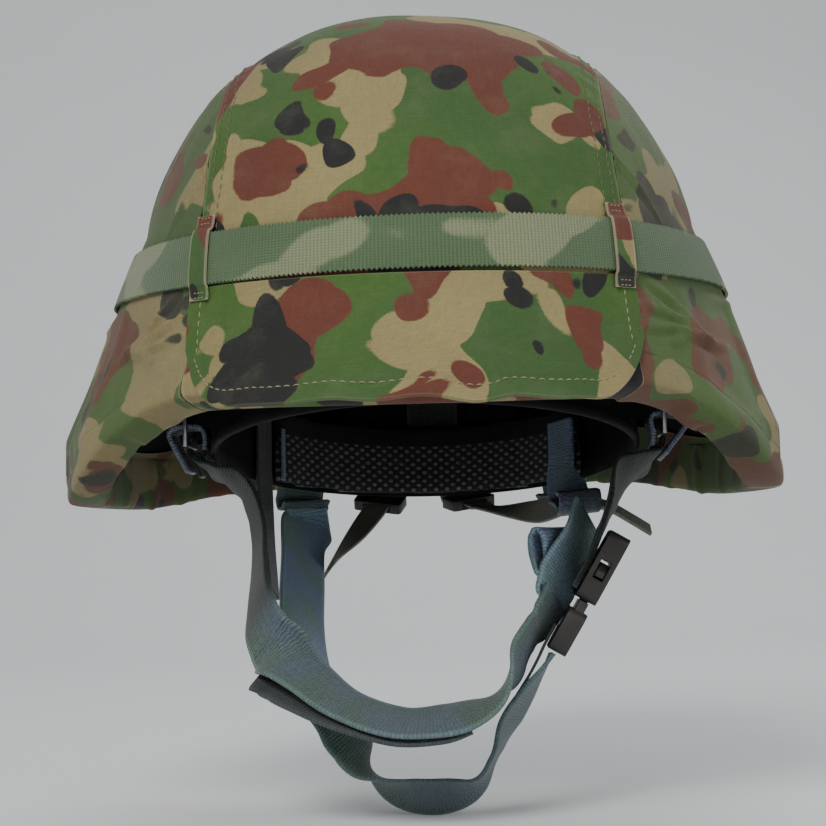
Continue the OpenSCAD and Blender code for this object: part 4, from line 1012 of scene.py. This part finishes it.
def makeFlap():
    k, share = np.linspace(-1, 1, 201), np.linspace(0, 1, 61)
    size = np.abs(k)
    top = band["middle"] - bandHalf - 1
    low = flap["low"] + flap["corner"] * np.power(np.clip(size - 0.72, 0, None) / 0.28, 2.2) \
        + (-flap["droop"] * bumpAt(k, 0.28, 0.10) + 0.5 * np.sin(k * 17 + 1) * (1 - eased(size, 0.6, 0.8)))
    z = top + (low - top)[:, None] * share[None]
    kk = np.repeat(k[:, None], len(share), 1)
    fromEdge, fromSide = z - low[:, None], (1 - size)[:, None] * flap["width"]
    lift = flapOut + flap["lift"] * np.clip(16 - z, 0, None) / 16
    hem = flap["hemThick"] * (1 - eased(fromEdge, flap["hem"] - 0.5, flap["hem"] + 0.4))
    sideHem = flap["sideHemThick"] * (1 - eased(fromSide, flap["sideHem"] - 0.5, flap["sideHem"] + 0.5))
    hem = np.maximum(hem, sideHem)
    flat = lowPanel(kk, z, lift)
    free = eased(30 - z, 0, 24)
    wave = flap["waves"] * free * (ripple(flat, 51, 46) * 0.5 + 0.35 * np.sin(kk * 21 + 0.6))
    wave = wave + 0.1 * ripple(flat, 52, 16) * free
    puckers = 0.16 * np.sin(kk * 120 + 3 * np.sin(kk * 31)) * bumpAt(fromEdge, flap["hem"], 2.4)
    grid = lowPanel(kk, z, lift + hem + wave + puckers)
    piece = addSheet("brow_flap_cloth", grid, cover["cloth"] + hem)
    settle(piece, "shell", flapCloth, "brow_flap", slot="cover_cloth")
    normal = outwardNormals(grid)
    pick = np.flatnonzero(size < 0.955)
    row = np.argmin(np.abs(fromEdge - flap["hem"] + 1.1), axis=1)[pick]
    lines = [(grid[pick, row] + 0.05 * normal[pick, row], normal[pick, row])]
    for side in (-0.94, 0.94):
        at = np.argmin(np.abs(k - side))
        lines.append((grid[at, 2:47], normal[at, 2:47]))
    settle(addStitches("flap_stitches", lines, *stitches["flap"]), "shell", paleThread, slot="cover_cloth")


def makeBand():
    count, rows = band["count"], np.linspace(1, -1, 9)
    a = (180 + np.arange(count) * 360.0 / count)[:, None]
    tooth = np.where(np.arange(count) % 2 == 0, band["teeth"], -band["teeth"])[:, None]
    z = band["middle"] + bandHalf * rows[None] + np.trunc(rows)[None] * tooth
    z = z + 0.35 * np.sin(np.radians(a * 3 + 40))
    grid = onShell(a + 0 * z, z, bandOut + 0.12 * np.sin(np.radians(a * 7)) + 0 * z)
    around = np.repeat(arcLengths(grid, 0)[:, 4:5], len(rows), 1)
    down = np.repeat(arcLengths(grid, 1)[0][None], count, 0)
    piece = addSheet("band_elastic", grid, band["thick"] * 0.8, closed=True, uvs=np.stack([around, down], -1))
    settle(piece, "shell", elasticWeave, "elastic_band", slot="elastic")


# The band runs through these loops, sewn to the cover above and below it.
loops = {"angles": (33, 147, -33, -147), "width": 7.0}


def makeLoops():
    pieces, lines = [], []
    edge = np.array([0.25, 0.12, 0, 0, 0, 0, 0, 0.12, 0.25])
    for a in loops["angles"]:
        foot = flapOut + 0.5 if abs(a) < 90 else bandIn
        rise = rounded([[bandHalf + 5.5, bandIn], [bandHalf + 1.5, bandIn + 0.1], [bandHalf + 0.4, loopIn],
                        [0, loopIn], [-bandHalf - 0.4, loopIn], [-bandHalf - 1.5, foot + 0.1],
                        [-bandHalf - 5.5, foot]])
        b = (a + np.linspace(-1, 1, 9) * loops["width"] / 2 / 1.9)[:, None]
        grid = onShell(b + 0 * rise[None, :, 0], band["middle"] + rise[None, :, 0] + 0 * b,
                       rise[None, :, 1] + cover["cloth"] + edge[:, None])
        pieces.append(addSheet("loop", grid, cover["cloth"]))
        out = np.repeat(outwardAt(float(a), rowOf(45.0))[None], 7, 0)
        lines += [(grid[1:-1, row], out) for row in (2, 4, len(rise) - 5, len(rise) - 3)]
    settle(joinPieces("band_loop_cloth", pieces), "shell", loopCloth, "band_loops", slot="cover_cloth")
    settle(addStitches("loop_stitches", lines, *stitches["loop"]), "shell", paleThread, slot="cover_cloth")


makeCentrePanel()
makeSidePanel("cover_left", "cover_side_panel_left", 1, leftClothPaintedLight, 1.3, 2.6)
makeSidePanel("cover_right", "cover_side_panel_right", -1, rightClothPaintedLight, 4.1, 1.2)
makeFlap()
makeBand()
makeLoops()
print("cover made")

# The headband is an oval ring that sits higher at the brow. The crown straps cross at the last height.
liner = {"halfX": 74, "halfY": 98, "height": 28, "wall": 2.4, "tilt": 7.3, "crossing": 96}
tiltCos, tiltSin = math.cos(math.radians(liner["tilt"])), math.sin(math.radians(liner["tilt"]))


def same(v, count):
    return [v] * count


# A point at an angle round the headband, o outside its inner face and z above its middle.
def bandAt(a, o, z):
    r = math.radians(a)
    x, y = (liner["halfX"] + o) * math.sin(r), -(liner["halfY"] + o) * math.cos(r)
    return np.array([x, y * tiltCos + z * tiltSin, z * tiltCos - y * tiltSin])


def bandSide(a):
    r = math.radians(a)
    x, y = liner["halfX"] * math.cos(r), liner["halfY"] * math.sin(r)
    v = np.array([x, y * tiltCos, -y * tiltSin])
    return v / np.linalg.norm(v)


def makeHeadband():
    wall, high = liner["wall"], liner["height"] / 2
    ring = closedRound([[0, -high], [wall, -high], [wall, -high + 3], [wall - 0.5, -high + 4], [wall - 0.5, high - 4],
                        [wall, high - 3], [wall, high], [0, high]], 1)
    grid = np.array([[bandAt(a, o, z) for o, z in ring] for a in range(0, 360, 2)])
    settle(addRing("headband_ring", grid), "shell", linerPlasticAndShade, "headband", slot="liner_plastic")


swelling = {"voxel": 0.0022, "pressure": 3.0, "cap": 0.0011, "stiffness": 40, "quality": 6, "frames": 20, "fill": 0.5}


# Swells a pad by cloth simulation, held against the headband behind it.
def swellPad(piece):
    modify(piece, "remesh", "REMESH", mode="VOXEL", voxel_size=swelling["voxel"])
    bake(piece)
    before = np.array([v.co for v in piece.data.vertices])
    x, y = liner["halfX"] - pads["swellRoom"], liner["halfY"] - pads["swellRoom"]
    held = np.flatnonzero(np.hypot(before[:, 0] * 1000 / x, before[:, 1] * 1000 / y) > 1.0).tolist()
    piece.vertex_groups.new(name="held").add(held, 1.0, "REPLACE")
    cloth = piece.modifiers.new("cloth", "CLOTH")
    cloth.settings.use_pressure = True
    cloth.settings.uniform_pressure_force = swelling["pressure"]
    cloth.settings.effector_weights.gravity = 0
    cloth.settings.vertex_group_mass = "held"
    cloth.settings.tension_stiffness = swelling["stiffness"]
    cloth.settings.quality = swelling["quality"]
    cloth.point_cache.frame_start, cloth.point_cache.frame_end = 1, swelling["frames"]
    for step in range(1, swelling["frames"] + 1):
        bpy.context.scene.frame_set(step)
    deps = bpy.context.evaluated_depsgraph_get()
    move = np.array([v.co for v in piece.evaluated_get(deps).data.vertices]) - before
    piece.modifiers.clear()
    piece.vertex_groups.clear()
    size = np.linalg.norm(move, axis=1, keepdims=True)
    move = move * np.minimum(swelling["cap"] / np.maximum(size, 1e-9), 1)
    piece.data.vertices.foreach_set("co", (before + move).ravel())
    piece.data.update()
    bpy.context.scene.frame_set(1)
    modify(piece, "fine", "SUBSURF", levels=1, render_levels=1)
    bake(piece)


# Lays the cloth's coordinates round the headband and up it.
def padCloth(mesh):
    points = np.zeros(len(mesh.vertices) * 3)
    mesh.vertices.foreach_get("co", points)
    x, y, z = points.reshape(-1, 3).T
    a = np.arctan2(x / liner["halfX"], -y / liner["halfY"])
    mesh.uv_layers.new(name="cloth")
    fillCloth(mesh, np.stack([np.where(a < 0, a + 2 * math.pi, a) * 0.086, y * tiltSin + z * tiltCos], -1))
    smoothFaces(mesh)


def makePad(name, node, a0, a1, thick, material, slot):
    thick, high, back, stations = thick - pads["swellRoom"], (pads["tall"] - pads["lowRoom"]) / 2, -0.15, 40
    section = [(back - thick, -high + 1.2 + (2 * high - 2.4) * j / 8) for j in range(9)]
    section += [(back - thick * 0.55, high), (back, high), (back, 0), (back, -high), (back - thick * 0.55, -high)]
    rows = []
    for i in range(stations + 1):
        a, (depth, tall) = a0 + (a1 - a0) * i / stations, (0.5, 0.97) if i in (0, stations) else (1, 1)
        rows.append([bandAt(a, back + (o - back) * depth, z * tall) for o, z in section])
    piece = addMesh(name, rows, tubeFaces(stations + 1, len(section)))
    faceOutwards(piece)
    swellPad(piece)
    padCloth(piece.data)
    settle(piece, "shell", material, node, slot=slot)


# The pale binding at the open end of the rear pad.
def makePadEdge():
    a = pads["binding"]
    path = [bandAt(a, 0.3 - pads["rearThick"], z) for z in (7, 2, -4, -9, -13)]
    settle(addStrap("pad_binding", path, same(bandSide(a), 5), *pads["tape"]), "shell", paleWeb, slot="webbing")


# Three straps over the head, each at an angle round it and lifted over the one below.
crownStraps = {"width": 20, "thick": 1.2, "rows": (
    ("crown_web_middle", "crown_strap_middle", 0, 0), ("crown_web_left", "crown_strap_cross_left", 50, 2.2),
    ("crown_web_right", "crown_strap_cross_right", -50, 4.4))}


def crownHalf(a, lift):
    def crown(u, fall):
        x, y = u * liner["halfX"] * math.sin(math.radians(a)), -u * liner["halfY"] * math.cos(math.radians(a))
        return [x, y, liner["crossing"] + lift - fall * (x * x + y * y)]

    o = liner["wall"] + 0.3 + 0.8
    return [bandAt(a, o, 4), bandAt(a, o, 15), bandAt(a, -6, 44), crown(0.62, 0.0049), crown(0.3, 0.0029),
            [0, 0, liner["crossing"] + lift]]


def makeCrownStraps():
    for name, node, a, lift in crownStraps["rows"]:
        r, end = math.radians(a), bandSide(a)
        side = unitOf(np.array([math.cos(r) * liner["halfY"], math.sin(r) * liner["halfX"], 0]))
        across = [end, end, side + end] + same(side, 5) + [side + end, end, end]
        points = crownHalf(a, lift) + crownHalf(a + 180, lift)[4::-1]
        strap = addStrap(name, points, across, crownStraps["width"], crownStraps["thick"])
        settle(strap, "shell", blackWeb, node, slot="crown_webbing")


# A leather patch over their crossing, stitched from below.
patch = {"radius": 22, "stitches": 19, "above": 5.3}


def makePatch():
    count, middle = 48, liner["crossing"] + patch["above"] + 0.8
    rings = [(0, 0.8), (0.55, 0.85), (0.8, 0.75), (0.93, 0.5), (1, 0.0), (0.93, -0.5), (0.8, -0.75), (0, -0.75)]
    points = []
    for share, up in rings:
        r = patch["radius"] * share
        points += [[r * math.cos(g), r * math.sin(g), middle + up] for g in np.arange(count) * 2 * math.pi / count]
    piece = addMesh("crown_disc", points, tubeFaces(len(rings), count, ends=False))
    modify(piece, "weld", "WELD", merge_threshold=0.00001)
    bake(piece)
    faceOutwards(piece)
    settle(piece, "shell", browLeather, "crown_patch", slot="liner_leather")
    g, r = np.linspace(0, 2 * math.pi, 60), patch["stitches"]
    line = np.stack([r * np.cos(g), r * np.sin(g), np.full(60, middle - 0.8)], -1)
    down = np.repeat([[0, 0, -1.0]], 60, 0)
    settle(addStitches("patch_stitches", [(line, down)], *stitches["patch"]), "shell", darkThread)


# Arms from four of the screws down to the headband.
hangers = {"screws": (0, 2, 3, 5), "width": 14, "thick": 1.6, "gap": 1.2}


def makeHangers():
    pieces = []
    for i in hangers["screws"]:
        a, z = screws["angles"][i], screws["heights"][i]
        r = math.radians(a)
        b = math.degrees(math.atan2(liner["halfY"] * math.sin(r), liner["halfX"] * math.cos(r)))
        deep = -shell["wall"] - hangers["gap"] - hangers["thick"] / 2
        top, hub = onShell(a, z + 7, deep), onShell(a, z - 6, deep)
        low, foot = [bandAt(b, liner["wall"] + hangers["thick"], up) for up in (12, 3)]
        side, end = unitOf(np.cross(outwardAt(float(a), rowOf(float(z))), [0, 0, 1])), bandSide(b)
        if end @ side < 0:
            end = -end
        pieces.append(addStrap("hanger", [top, hub, hub * 0.45 + low * 0.55 + [0, 0, 1], low, foot],
                               [side, side, side + end, end, end], hangers["width"], hangers["thick"], 8))
    joined = joinPieces("hanger_arms", pieces)
    addHoles(joined, screws["hangerHole"], screws["from"], screws["hangerTo"])
    settle(joined, "shell", linerPlasticAndShade, "suspension_hangers", slot="liner_plastic")


makeHeadband()
makePad("rear_pad", "headband_pad_rear", 127, 235, pads["rearThick"], meshFabric, "liner_mesh")
makePad("brow_pad", "headband_pad_front", -60, 60, pads["browThick"], browLeather, "liner_leather")
makePadEdge()
makeCrownStraps()
makePatch()
makeHangers()
print("liner made")

# The buckle's own directions: u along it, y across it and n out of its face.
buckle = {"top": (66.5, -38, -44.5), "along": (-22.6, 0, -38.1), "thick": 7.5}
buckleDir = unitOf(np.array(buckle["along"], float))
buckleFace = np.cross(buckleDir, [0, 1, 0])
# The webbing, the height of the side plates' slots and where the straps leave the headband.
web = {"width": 22, "thick": 1.6, "slot": -1.7, "anchor": 138, "rearHook": 130.5, "drop": -119.5}


def atBuckle(u, y, n):
    return np.array(buckle["top"], float) + u * buckleDir + np.array([0, y, 0]) + n * buckleFace


# Straps that run from one body to another bend between these two points, in metres.
bends = {
    "lower_chin_strap": ("harness", "buckle_tongue", (-0.015, -0.036, -0.122), (0.034, -0.039, -0.096)),
    "rear_strap_right": ("shell", "harness", (-0.0495, 0.052, -0.043), (-0.0434, -0.017, -0.0817)),
    "rear_strap_left": ("shell", "harness", (0.0526, 0.040, -0.0294), (0.0537, 0.0, -0.033)),
}


def makeStraps():
    wide, thick, slotZ = web["width"], web["thick"], web["slot"]
    half = -buckle["thick"] / 2 - 0.4 - thick / 2
    tail = -(buckle["thick"] - 1) / 2 - 1.1
    chin = [[-52.6, -45.2, -77.4], [-51.55, -46.25, -78.75], [-46.8, -49.6, -83.4], [-39.8, -54, -89],
            [-27.6, -61, -97.7], [-10.5, -66, -103.7], [4.3, -67, -103.7], [14.2, -64.5, -101.5], [22.4, -61, -97],
            [27.8, -57, -90.6], [31.7, -52, -82.1], [35.1, -48.6, -76.7], [38, -46.4, -73.2], [41.4, -43.4, -69],
            [44, -41.8, -65]]
    chinSide = [[0.66, -0.5, 0.54], [0.64, -0.3, 0.51], [0.54, 0.54, 0.4], [0.5, 0.8, 0.3], [0.42, 0.88, 0.25],
                [0.33, 0.89, 0.31], [0.05, 0.92, 0.38], [0.1, 0.92, 0.36], [0.2, 0.92, 0.3], [0.27, 0.93, 0.2],
                [0.33, 0.93, 0.1], [0.36, 0.93, 0.05], [0.42, 0.9, 0], [0.46, 0.88, 0], [0.5, 0.86, 0]]
    anchor, hook, drop = web["anchor"], web["rearHook"], web["drop"]
    rearSide, hookSide = -bandSide(-anchor), bandSide(hook)
    rows = [
        ("strap_front_right", "front_strap_right", "harness", frontWebPaintedShade, wide, thick,
         [[-78.62, -0.15, -10.9], [-79, -0.9, -16], [-72.6, -7, -20.2], [-65.8, -12, -24.2], [-60.8, -18, -31.4],
          [-58.5, -22, -41], [-58.2, -27, -51.4], [-58, -33, -62.4], [-56.6, -39.5, -70.6], [-53.65, -44.15, -76.05],
          chin[0]],
         [[0, -1, 0], [0, -1, 0], [0.12, -0.95, 0.15], [0.2, -0.93, 0.3], [0.25, -0.93, 0.3], [0.28, -0.92, 0.3],
          [0.3, -0.9, 0.3], [0.4, -0.84, 0.34], [0.56, -0.7, 0.44], [0.64, -0.54, 0.52], chinSide[0]]),
        ("strap_front_left", "front_strap_left", "harness", frontWebPaintedShade, wide, thick,
         [[80.5, -0.3, -14.6], [80.1, -1.3, -18.4], [72.4, -10, -23], [66.2, -19, -27.6], [63.2, -31, -34],
          atBuckle(-2, 0, half - 2.4), atBuckle(10, 0, half - 0.4), atBuckle(23, 0, half)],
         [[0, -1, 0], [0, -0.98, 0.1], [0.05, -0.8, 0.45], [0.1, -0.45, 0.8], [0.1, -0.75, 0.6], [0, -1, 0],
          [0, -1, 0], [0, -1, 0]]),
        ("loop_web_right", "hanger_loop_right", "harness", paleWeb, wide, thick,
         [[-78.6, -0.1, -10.4], [-78.3, 0, -6], [-79.2, 0, slotZ - 1.2], [-81.5, 0, slotZ], [-88, 0, slotZ],
          [-91.2, 0, slotZ - 2.2], [-89.7, 0, -8.5], [-87.1, 0, -13.5], [-84.8, 0, -17.9]], same([0, 1, 0], 9)),
        ("loop_web_left", "hanger_loop_left", "harness", paleWeb, wide, thick,
         [[80.7, -0.2, -13.4], [81.2, 0, -8.5], [80.4, 0, slotZ - 2], [82.3, 0, slotZ], [89, 0, slotZ],
          [94, 0, slotZ - 2], [91.6, 0, -8], [87.4, -0.5, -13.2], [84.9, -1, -16.6]], same([0, 1, 0], 9)),
        ("buckle_backing_web", "buckle_backing", "harness", backWeb, wide, thick,
         [[56.6, -24.8, -38.2], [53, -30, -45], [48.6, -34.5, -52.5], [44.8, -38.5, -59.5], [42.6, -41, -64.6],
          [42.1, -42.4, -68]],
         [[0.5, 0.8, -0.2], [0.5, 0.85, 0.1], [0.56, 0.8, 0.2], [0.6, 0.75, 0.2], [0.5, 0.85, 0.1], [0.3, 0.93, 0]]),
        ("backing_loop_web", "backing_loop", "harness", backWeb, wide, thick,
         [[47.2, -33.4, -52.5], [46.9, -33.2, -46.6], [46.1, -32.7, -43.2], [44.6, -31.6, -41.9],
          [43.2, -30.9, -43.4], [42.6, -31.4, -47], [42.5, -34.4, -53.4], [42.6, -39.6, -61.4]],
         [[0.6, 0.8, 0], [0.6, 0.8, 0], [0.6, 0.8, 0], [0.61, 0.79, 0], [0.62, 0.78, 0], [0.62, 0.78, 0],
          [0.56, 0.8, 0], [0.4, 0.9, 0]]),
        ("strap_fold_web", "strap_fold_left", "harness", paleWeb, 15, thick,
         [[53.4, -9, -28.6], [53.8, -15, -29], [54, -20.5, -29.6], [54.1, -23.6, -32.2], [53.9, -21, -35.2],
          [53.6, -14, -36]],
         same([0.62, 0.1, 0.05], 6)),
        ("chin_web_upper", "upper_chin_strap", "harness", tealWeb, wide, thick, chin, chinSide),
        # Dark webbing under the upper chin strap: partly the real doubled tail. Along the chin strap it is a dark
        # strip that stands in for the shadow under it, a painted shadow.
        ("chin_tail_and_shadow_web", "chin_strap_tail", "harness", darkWeb, wide - 3, thick,
         [[-57.4, -48.2, -89.4], [-52.6, -48.8, -91.4], [-47.2, -51.8, -93.6], [-41.8, -55.8, -96.3],
          [-27.8, -62.6, -102.4], [-10.5, -65.6, -107.4], [4.3, -66.4, -107.2], [12, -64.6, -105.2]],
         [[0.05, 0.93, 0.36], [0.04, 0.93, 0.36], [0, 0.92, 0.38], [-0.05, 0.91, 0.4], [-0.05, 0.92, 0.36],
          [0, 0.94, 0.32], [0.05, 0.94, 0.32], [0.1, 0.94, 0.32]]),
        ("chin_web_lower", "lower_chin_strap", "harness", greenWeb, wide, thick,
         [[-34.6, -40.8, -98.8], [-30.4, -40.2, -105.2], [-26.8, -38.8, -112.2], [-20.5, -36, -122.8],
          [-9.6, -33.5, -130.5], [4.1, -33, -131.9], [15.2, -34.5, -127.5], [22.3, -37, -117.6],
          [27.4, -38.8, -106.6], atBuckle(62.7, -1, -1.55), atBuckle(52.7, -0.4, -0.75), atBuckle(46.3, 0, -0.6)],
         [[0.7, 0.4, -0.5], [0.72, 0.55, -0.4], [0.66, 0.65, -0.4], [0.45, 0.75, -0.5], [0.2, 0.8, -0.6],
          [0, 0.8, -0.6], [-0.2, 0.82, -0.5], [-0.08, 0.92, -0.35], [0.2, 0.93, -0.24], [0.2, 0.96, -0.14],
          [0.1, 0.98, 0], [0, 1, 0]]),
        ("tail_web_left", "strap_tail_left", "buckle_tongue", darkWeb, wide - 4, 1.0,
         [atBuckle(37, 0, tail), atBuckle(44.6, 0.1, tail), atBuckle(50, 0.2, tail + 0.4),
          atBuckle(56.5, 0, tail + 0.5), atBuckle(64, -0.6, tail + 0.1)],
         same([0.05, 1, 0], 5)),
        ("rear_web_right", "rear_strap_right", "shell", rearWeb, wide, thick,
         [bandAt(-anchor, -0.5, -21.8), bandAt(-anchor, -1.6, -28), [-49.7, 55, -41.5], [-48, 32, -54.4],
          [-46.3, 4, -69], [-43.4, -17, -81.7], [-37.8, -37.6, -94.6]],
         [rearSide, rearSide, [0.66, 0.5, -0.5], [0.66, 0.45, -0.6], [0.66, 0.45, -0.6], [0.68, 0.42, -0.58],
          [0.7, 0.4, -0.5]]),
        ("rear_web_left", "rear_strap_left", "shell", blueWeb, wide - 6, thick,
         [bandAt(hook, -7.6, 8), bandAt(hook, -7.6, -6), bandAt(hook, -8.6, -14.5), [52.6, 42, -29.4],
          [53.6, 14, -32], [53.8, -15, -33.9]],
         [hookSide, hookSide, [-0.55, 0.7, -0.3], [-0.65, 0.25, -0.1], [-0.68, 0.1, -0.05], [-0.64, 0.1, -0.05]]),
        ("drop_web", "liner_drop_strap", "shell", blackWeb, 11, 1.2,
         [bandAt(drop, -1.4, 10), bandAt(drop, -1.4, -6), bandAt(drop, -1.8, -18), [-61.4, 44, -46],
          [-59.4, 36, -63]],
         [-bandSide(drop)] * 3 + [[0.2, 0.95, 0], [0.12, 0.98, 0]]),
    ]
    for name, node, body, material, width, deep, points, across in rows:
        piece = addStrap(name, points, across, width, deep)
        piece.data.materials.append(material)
        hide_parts(node)
        if node in bends:
            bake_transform(piece)
        else:
            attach(piece, body)


# Loops at the back of the headband that hold the rear straps.
anchors = {"width": 25, "thick": 1.6, "gap": 0.1}


def makeAnchors():
    pieces = []
    for a in (web["anchor"], -web["anchor"]):
        r, o = math.radians(a), liner["wall"] + anchors["gap"] + anchors["thick"] / 2
        points = [bandAt(a, o, 1), bandAt(a, o, -6), bandAt(a, o, -13.5), bandAt(a, o + 0.6, -18),
                  bandAt(a, o - 1.6, -21), bandAt(a, o - 4.2, -18.6)]
        side = [liner["halfX"] * math.cos(r), liner["halfY"] * math.sin(r), 0]
        pieces.append(addStrap("anchor", points, same(side, 6), anchors["width"], anchors["thick"], 8))
    settle(joinPieces("rear_anchor_web", pieces), "shell", greenWeb, "rear_anchor_loops", slot="webbing")


# The nape straps run from the rear straps to the headband. "start" is where the left one joins.
nape = {
    "width": 10, "thick": 1.15, "tailThick": 1.4,
    "right": [[-39.4, 46, -54.4], [-33, 68, -45.5], [-26.6, 91, -35.3], [-21.6, 105.5, -27.6]],
    "left": [[42.6, 57.4, -34.2], [34, 73, -33.4], [20.5, 95, -31.4], [13, 106.5, -28.4]],
    "start": [49.8, 44.6, -32.4],
    "tail": [[61.2, 34.8, -31.5], [68.2, 36, -34.1], [74.9, 38, -38], [82.4, 40, -42.7]],
}


def makeNapeStraps():
    for side, s, a in (("right", -1, -165.5), ("left", 1, 171)):
        p, e = np.array(nape[side], float), -bandSide(a)
        points = [p[0], p[1]] + [p[3] + u * unitOf(p[3] - p[2]) for u in (-16, -10, -4, 2, 7, 11)]
        points += [bandAt(a, 9, -3), bandAt(a, liner["wall"] + 0.4 + 0.7, 0)]
        across = [[0.5, -0.3 * s, 0.7], [0.75, -0.2 * s, 0.4]] + same([1, 0, 0], 6) + [e, e]
        if side == "left":
            points, across = [nape["start"]] + points, [across[0]] + across
        pieces = [addStrap("nape", points, across, nape["width"], nape["thick"], 8)]
        if side == "left":
            tail = addStrap("nape_tail", nape["tail"], same([0.1, 0.93, 0.3], 4), nape["width"], nape["tailThick"], 8)
            pieces.append(tail)
        settle(joinPieces("nape_web_" + side, pieces), "shell", napeWeb, "nape_strap_" + side, slot="webbing")


makeStraps()
makeAnchors()
makeNapeStraps()
print("straps made")

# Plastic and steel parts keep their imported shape, with edges softened by this many millimetres.
hardParts = (
    ("shell_screws", "shell", blackSteel, 0.25), ("screw_nuts", "shell", blackSteel, 0.3),
    ("side_brackets", "shell", bracketSteel, 0.3), ("side_plate_left", "harness", bracketSteel, 0.3),
    ("side_plate_right", "harness", bracketSteel, 0.3), ("buckle_female", "harness", bucklePlastic, 0.8, 3),
    ("buckle_male", "buckle_tongue", bucklePlastic, 0.7, 3),
    ("buckle_latch_front", "latch_front", bucklePlastic, 0.3),
    ("buckle_latch_rear", "latch_rear", bucklePlastic, 0.3),
    ("nape_slider_left", "slider_left", sliderPlastic, 0.4),
    ("nape_slider_right", "slider_right", sliderPlastic, 0.4),
)
plateFoot = -9.2  # the height below which a side plate carries webbing


def dress(node, body, material, width, segments=2):
    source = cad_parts[node]
    piece = bpy.data.objects.new("dressed_" + node, source.data.copy())
    bpy.context.scene.collection.objects.link(piece)
    piece.matrix_world = source.matrix_world.copy()
    modify(piece, "weld", "WELD", merge_threshold=0.00002)
    modify(piece, "flat", "DECIMATE", decimate_type="DISSOLVE", angle_limit=math.radians(1.5))
    modify(piece, "edge", "BEVEL", width=width / 1000, segments=segments, limit_method="ANGLE",
           angle_limit=math.radians(28))
    bake(piece)
    smoothFaces(piece.data, 35)
    settle(piece, body, material, node)
    if node.startswith("side_plate"):
        piece.data.materials.append(darkWeb)
        for face in piece.data.polygons:
            if face.center.z * 1000 < plateFoot:
                face.material_index = 1


for row in hardParts:
    dress(*row)
print("hard parts dressed")

# The floor bends up into a backdrop, in metres.
studioFloor = {"front": -3.0, "bend": 1.2, "radius": 0.8, "top": 3.2, "halfWidth": 4.0}


def makeFloor():
    v, low = studioFloor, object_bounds()[0][2]
    rows = [(v["front"], 0.0), (v["bend"], 0.0)]
    for g in np.radians(np.arange(13) * 7.5):
        rows.append((v["bend"] + v["radius"] * math.sin(g), v["radius"] * (1 - math.cos(g))))
    rows.append((v["bend"] + v["radius"], v["top"]))
    points = [[x * 1000, y * 1000, (low + z) * 1000] for y, z in rows for x in (-v["halfWidth"], v["halfWidth"])]
    floor = addMesh("floor", points, [[2 * i, 2 * i + 1, 2 * i + 3, 2 * i + 2] for i in range(len(rows) - 1)])
    made, g, body = startMaterial("floor_paint")
    g.set(body, Base_Color=g.mix(g.noise(g.place(), 3.0, 3.0), paint(226, 227, 228), paint(232, 233, 234)),
          Roughness=0.8)
    floor.data.materials.append(made)


makeFloor()
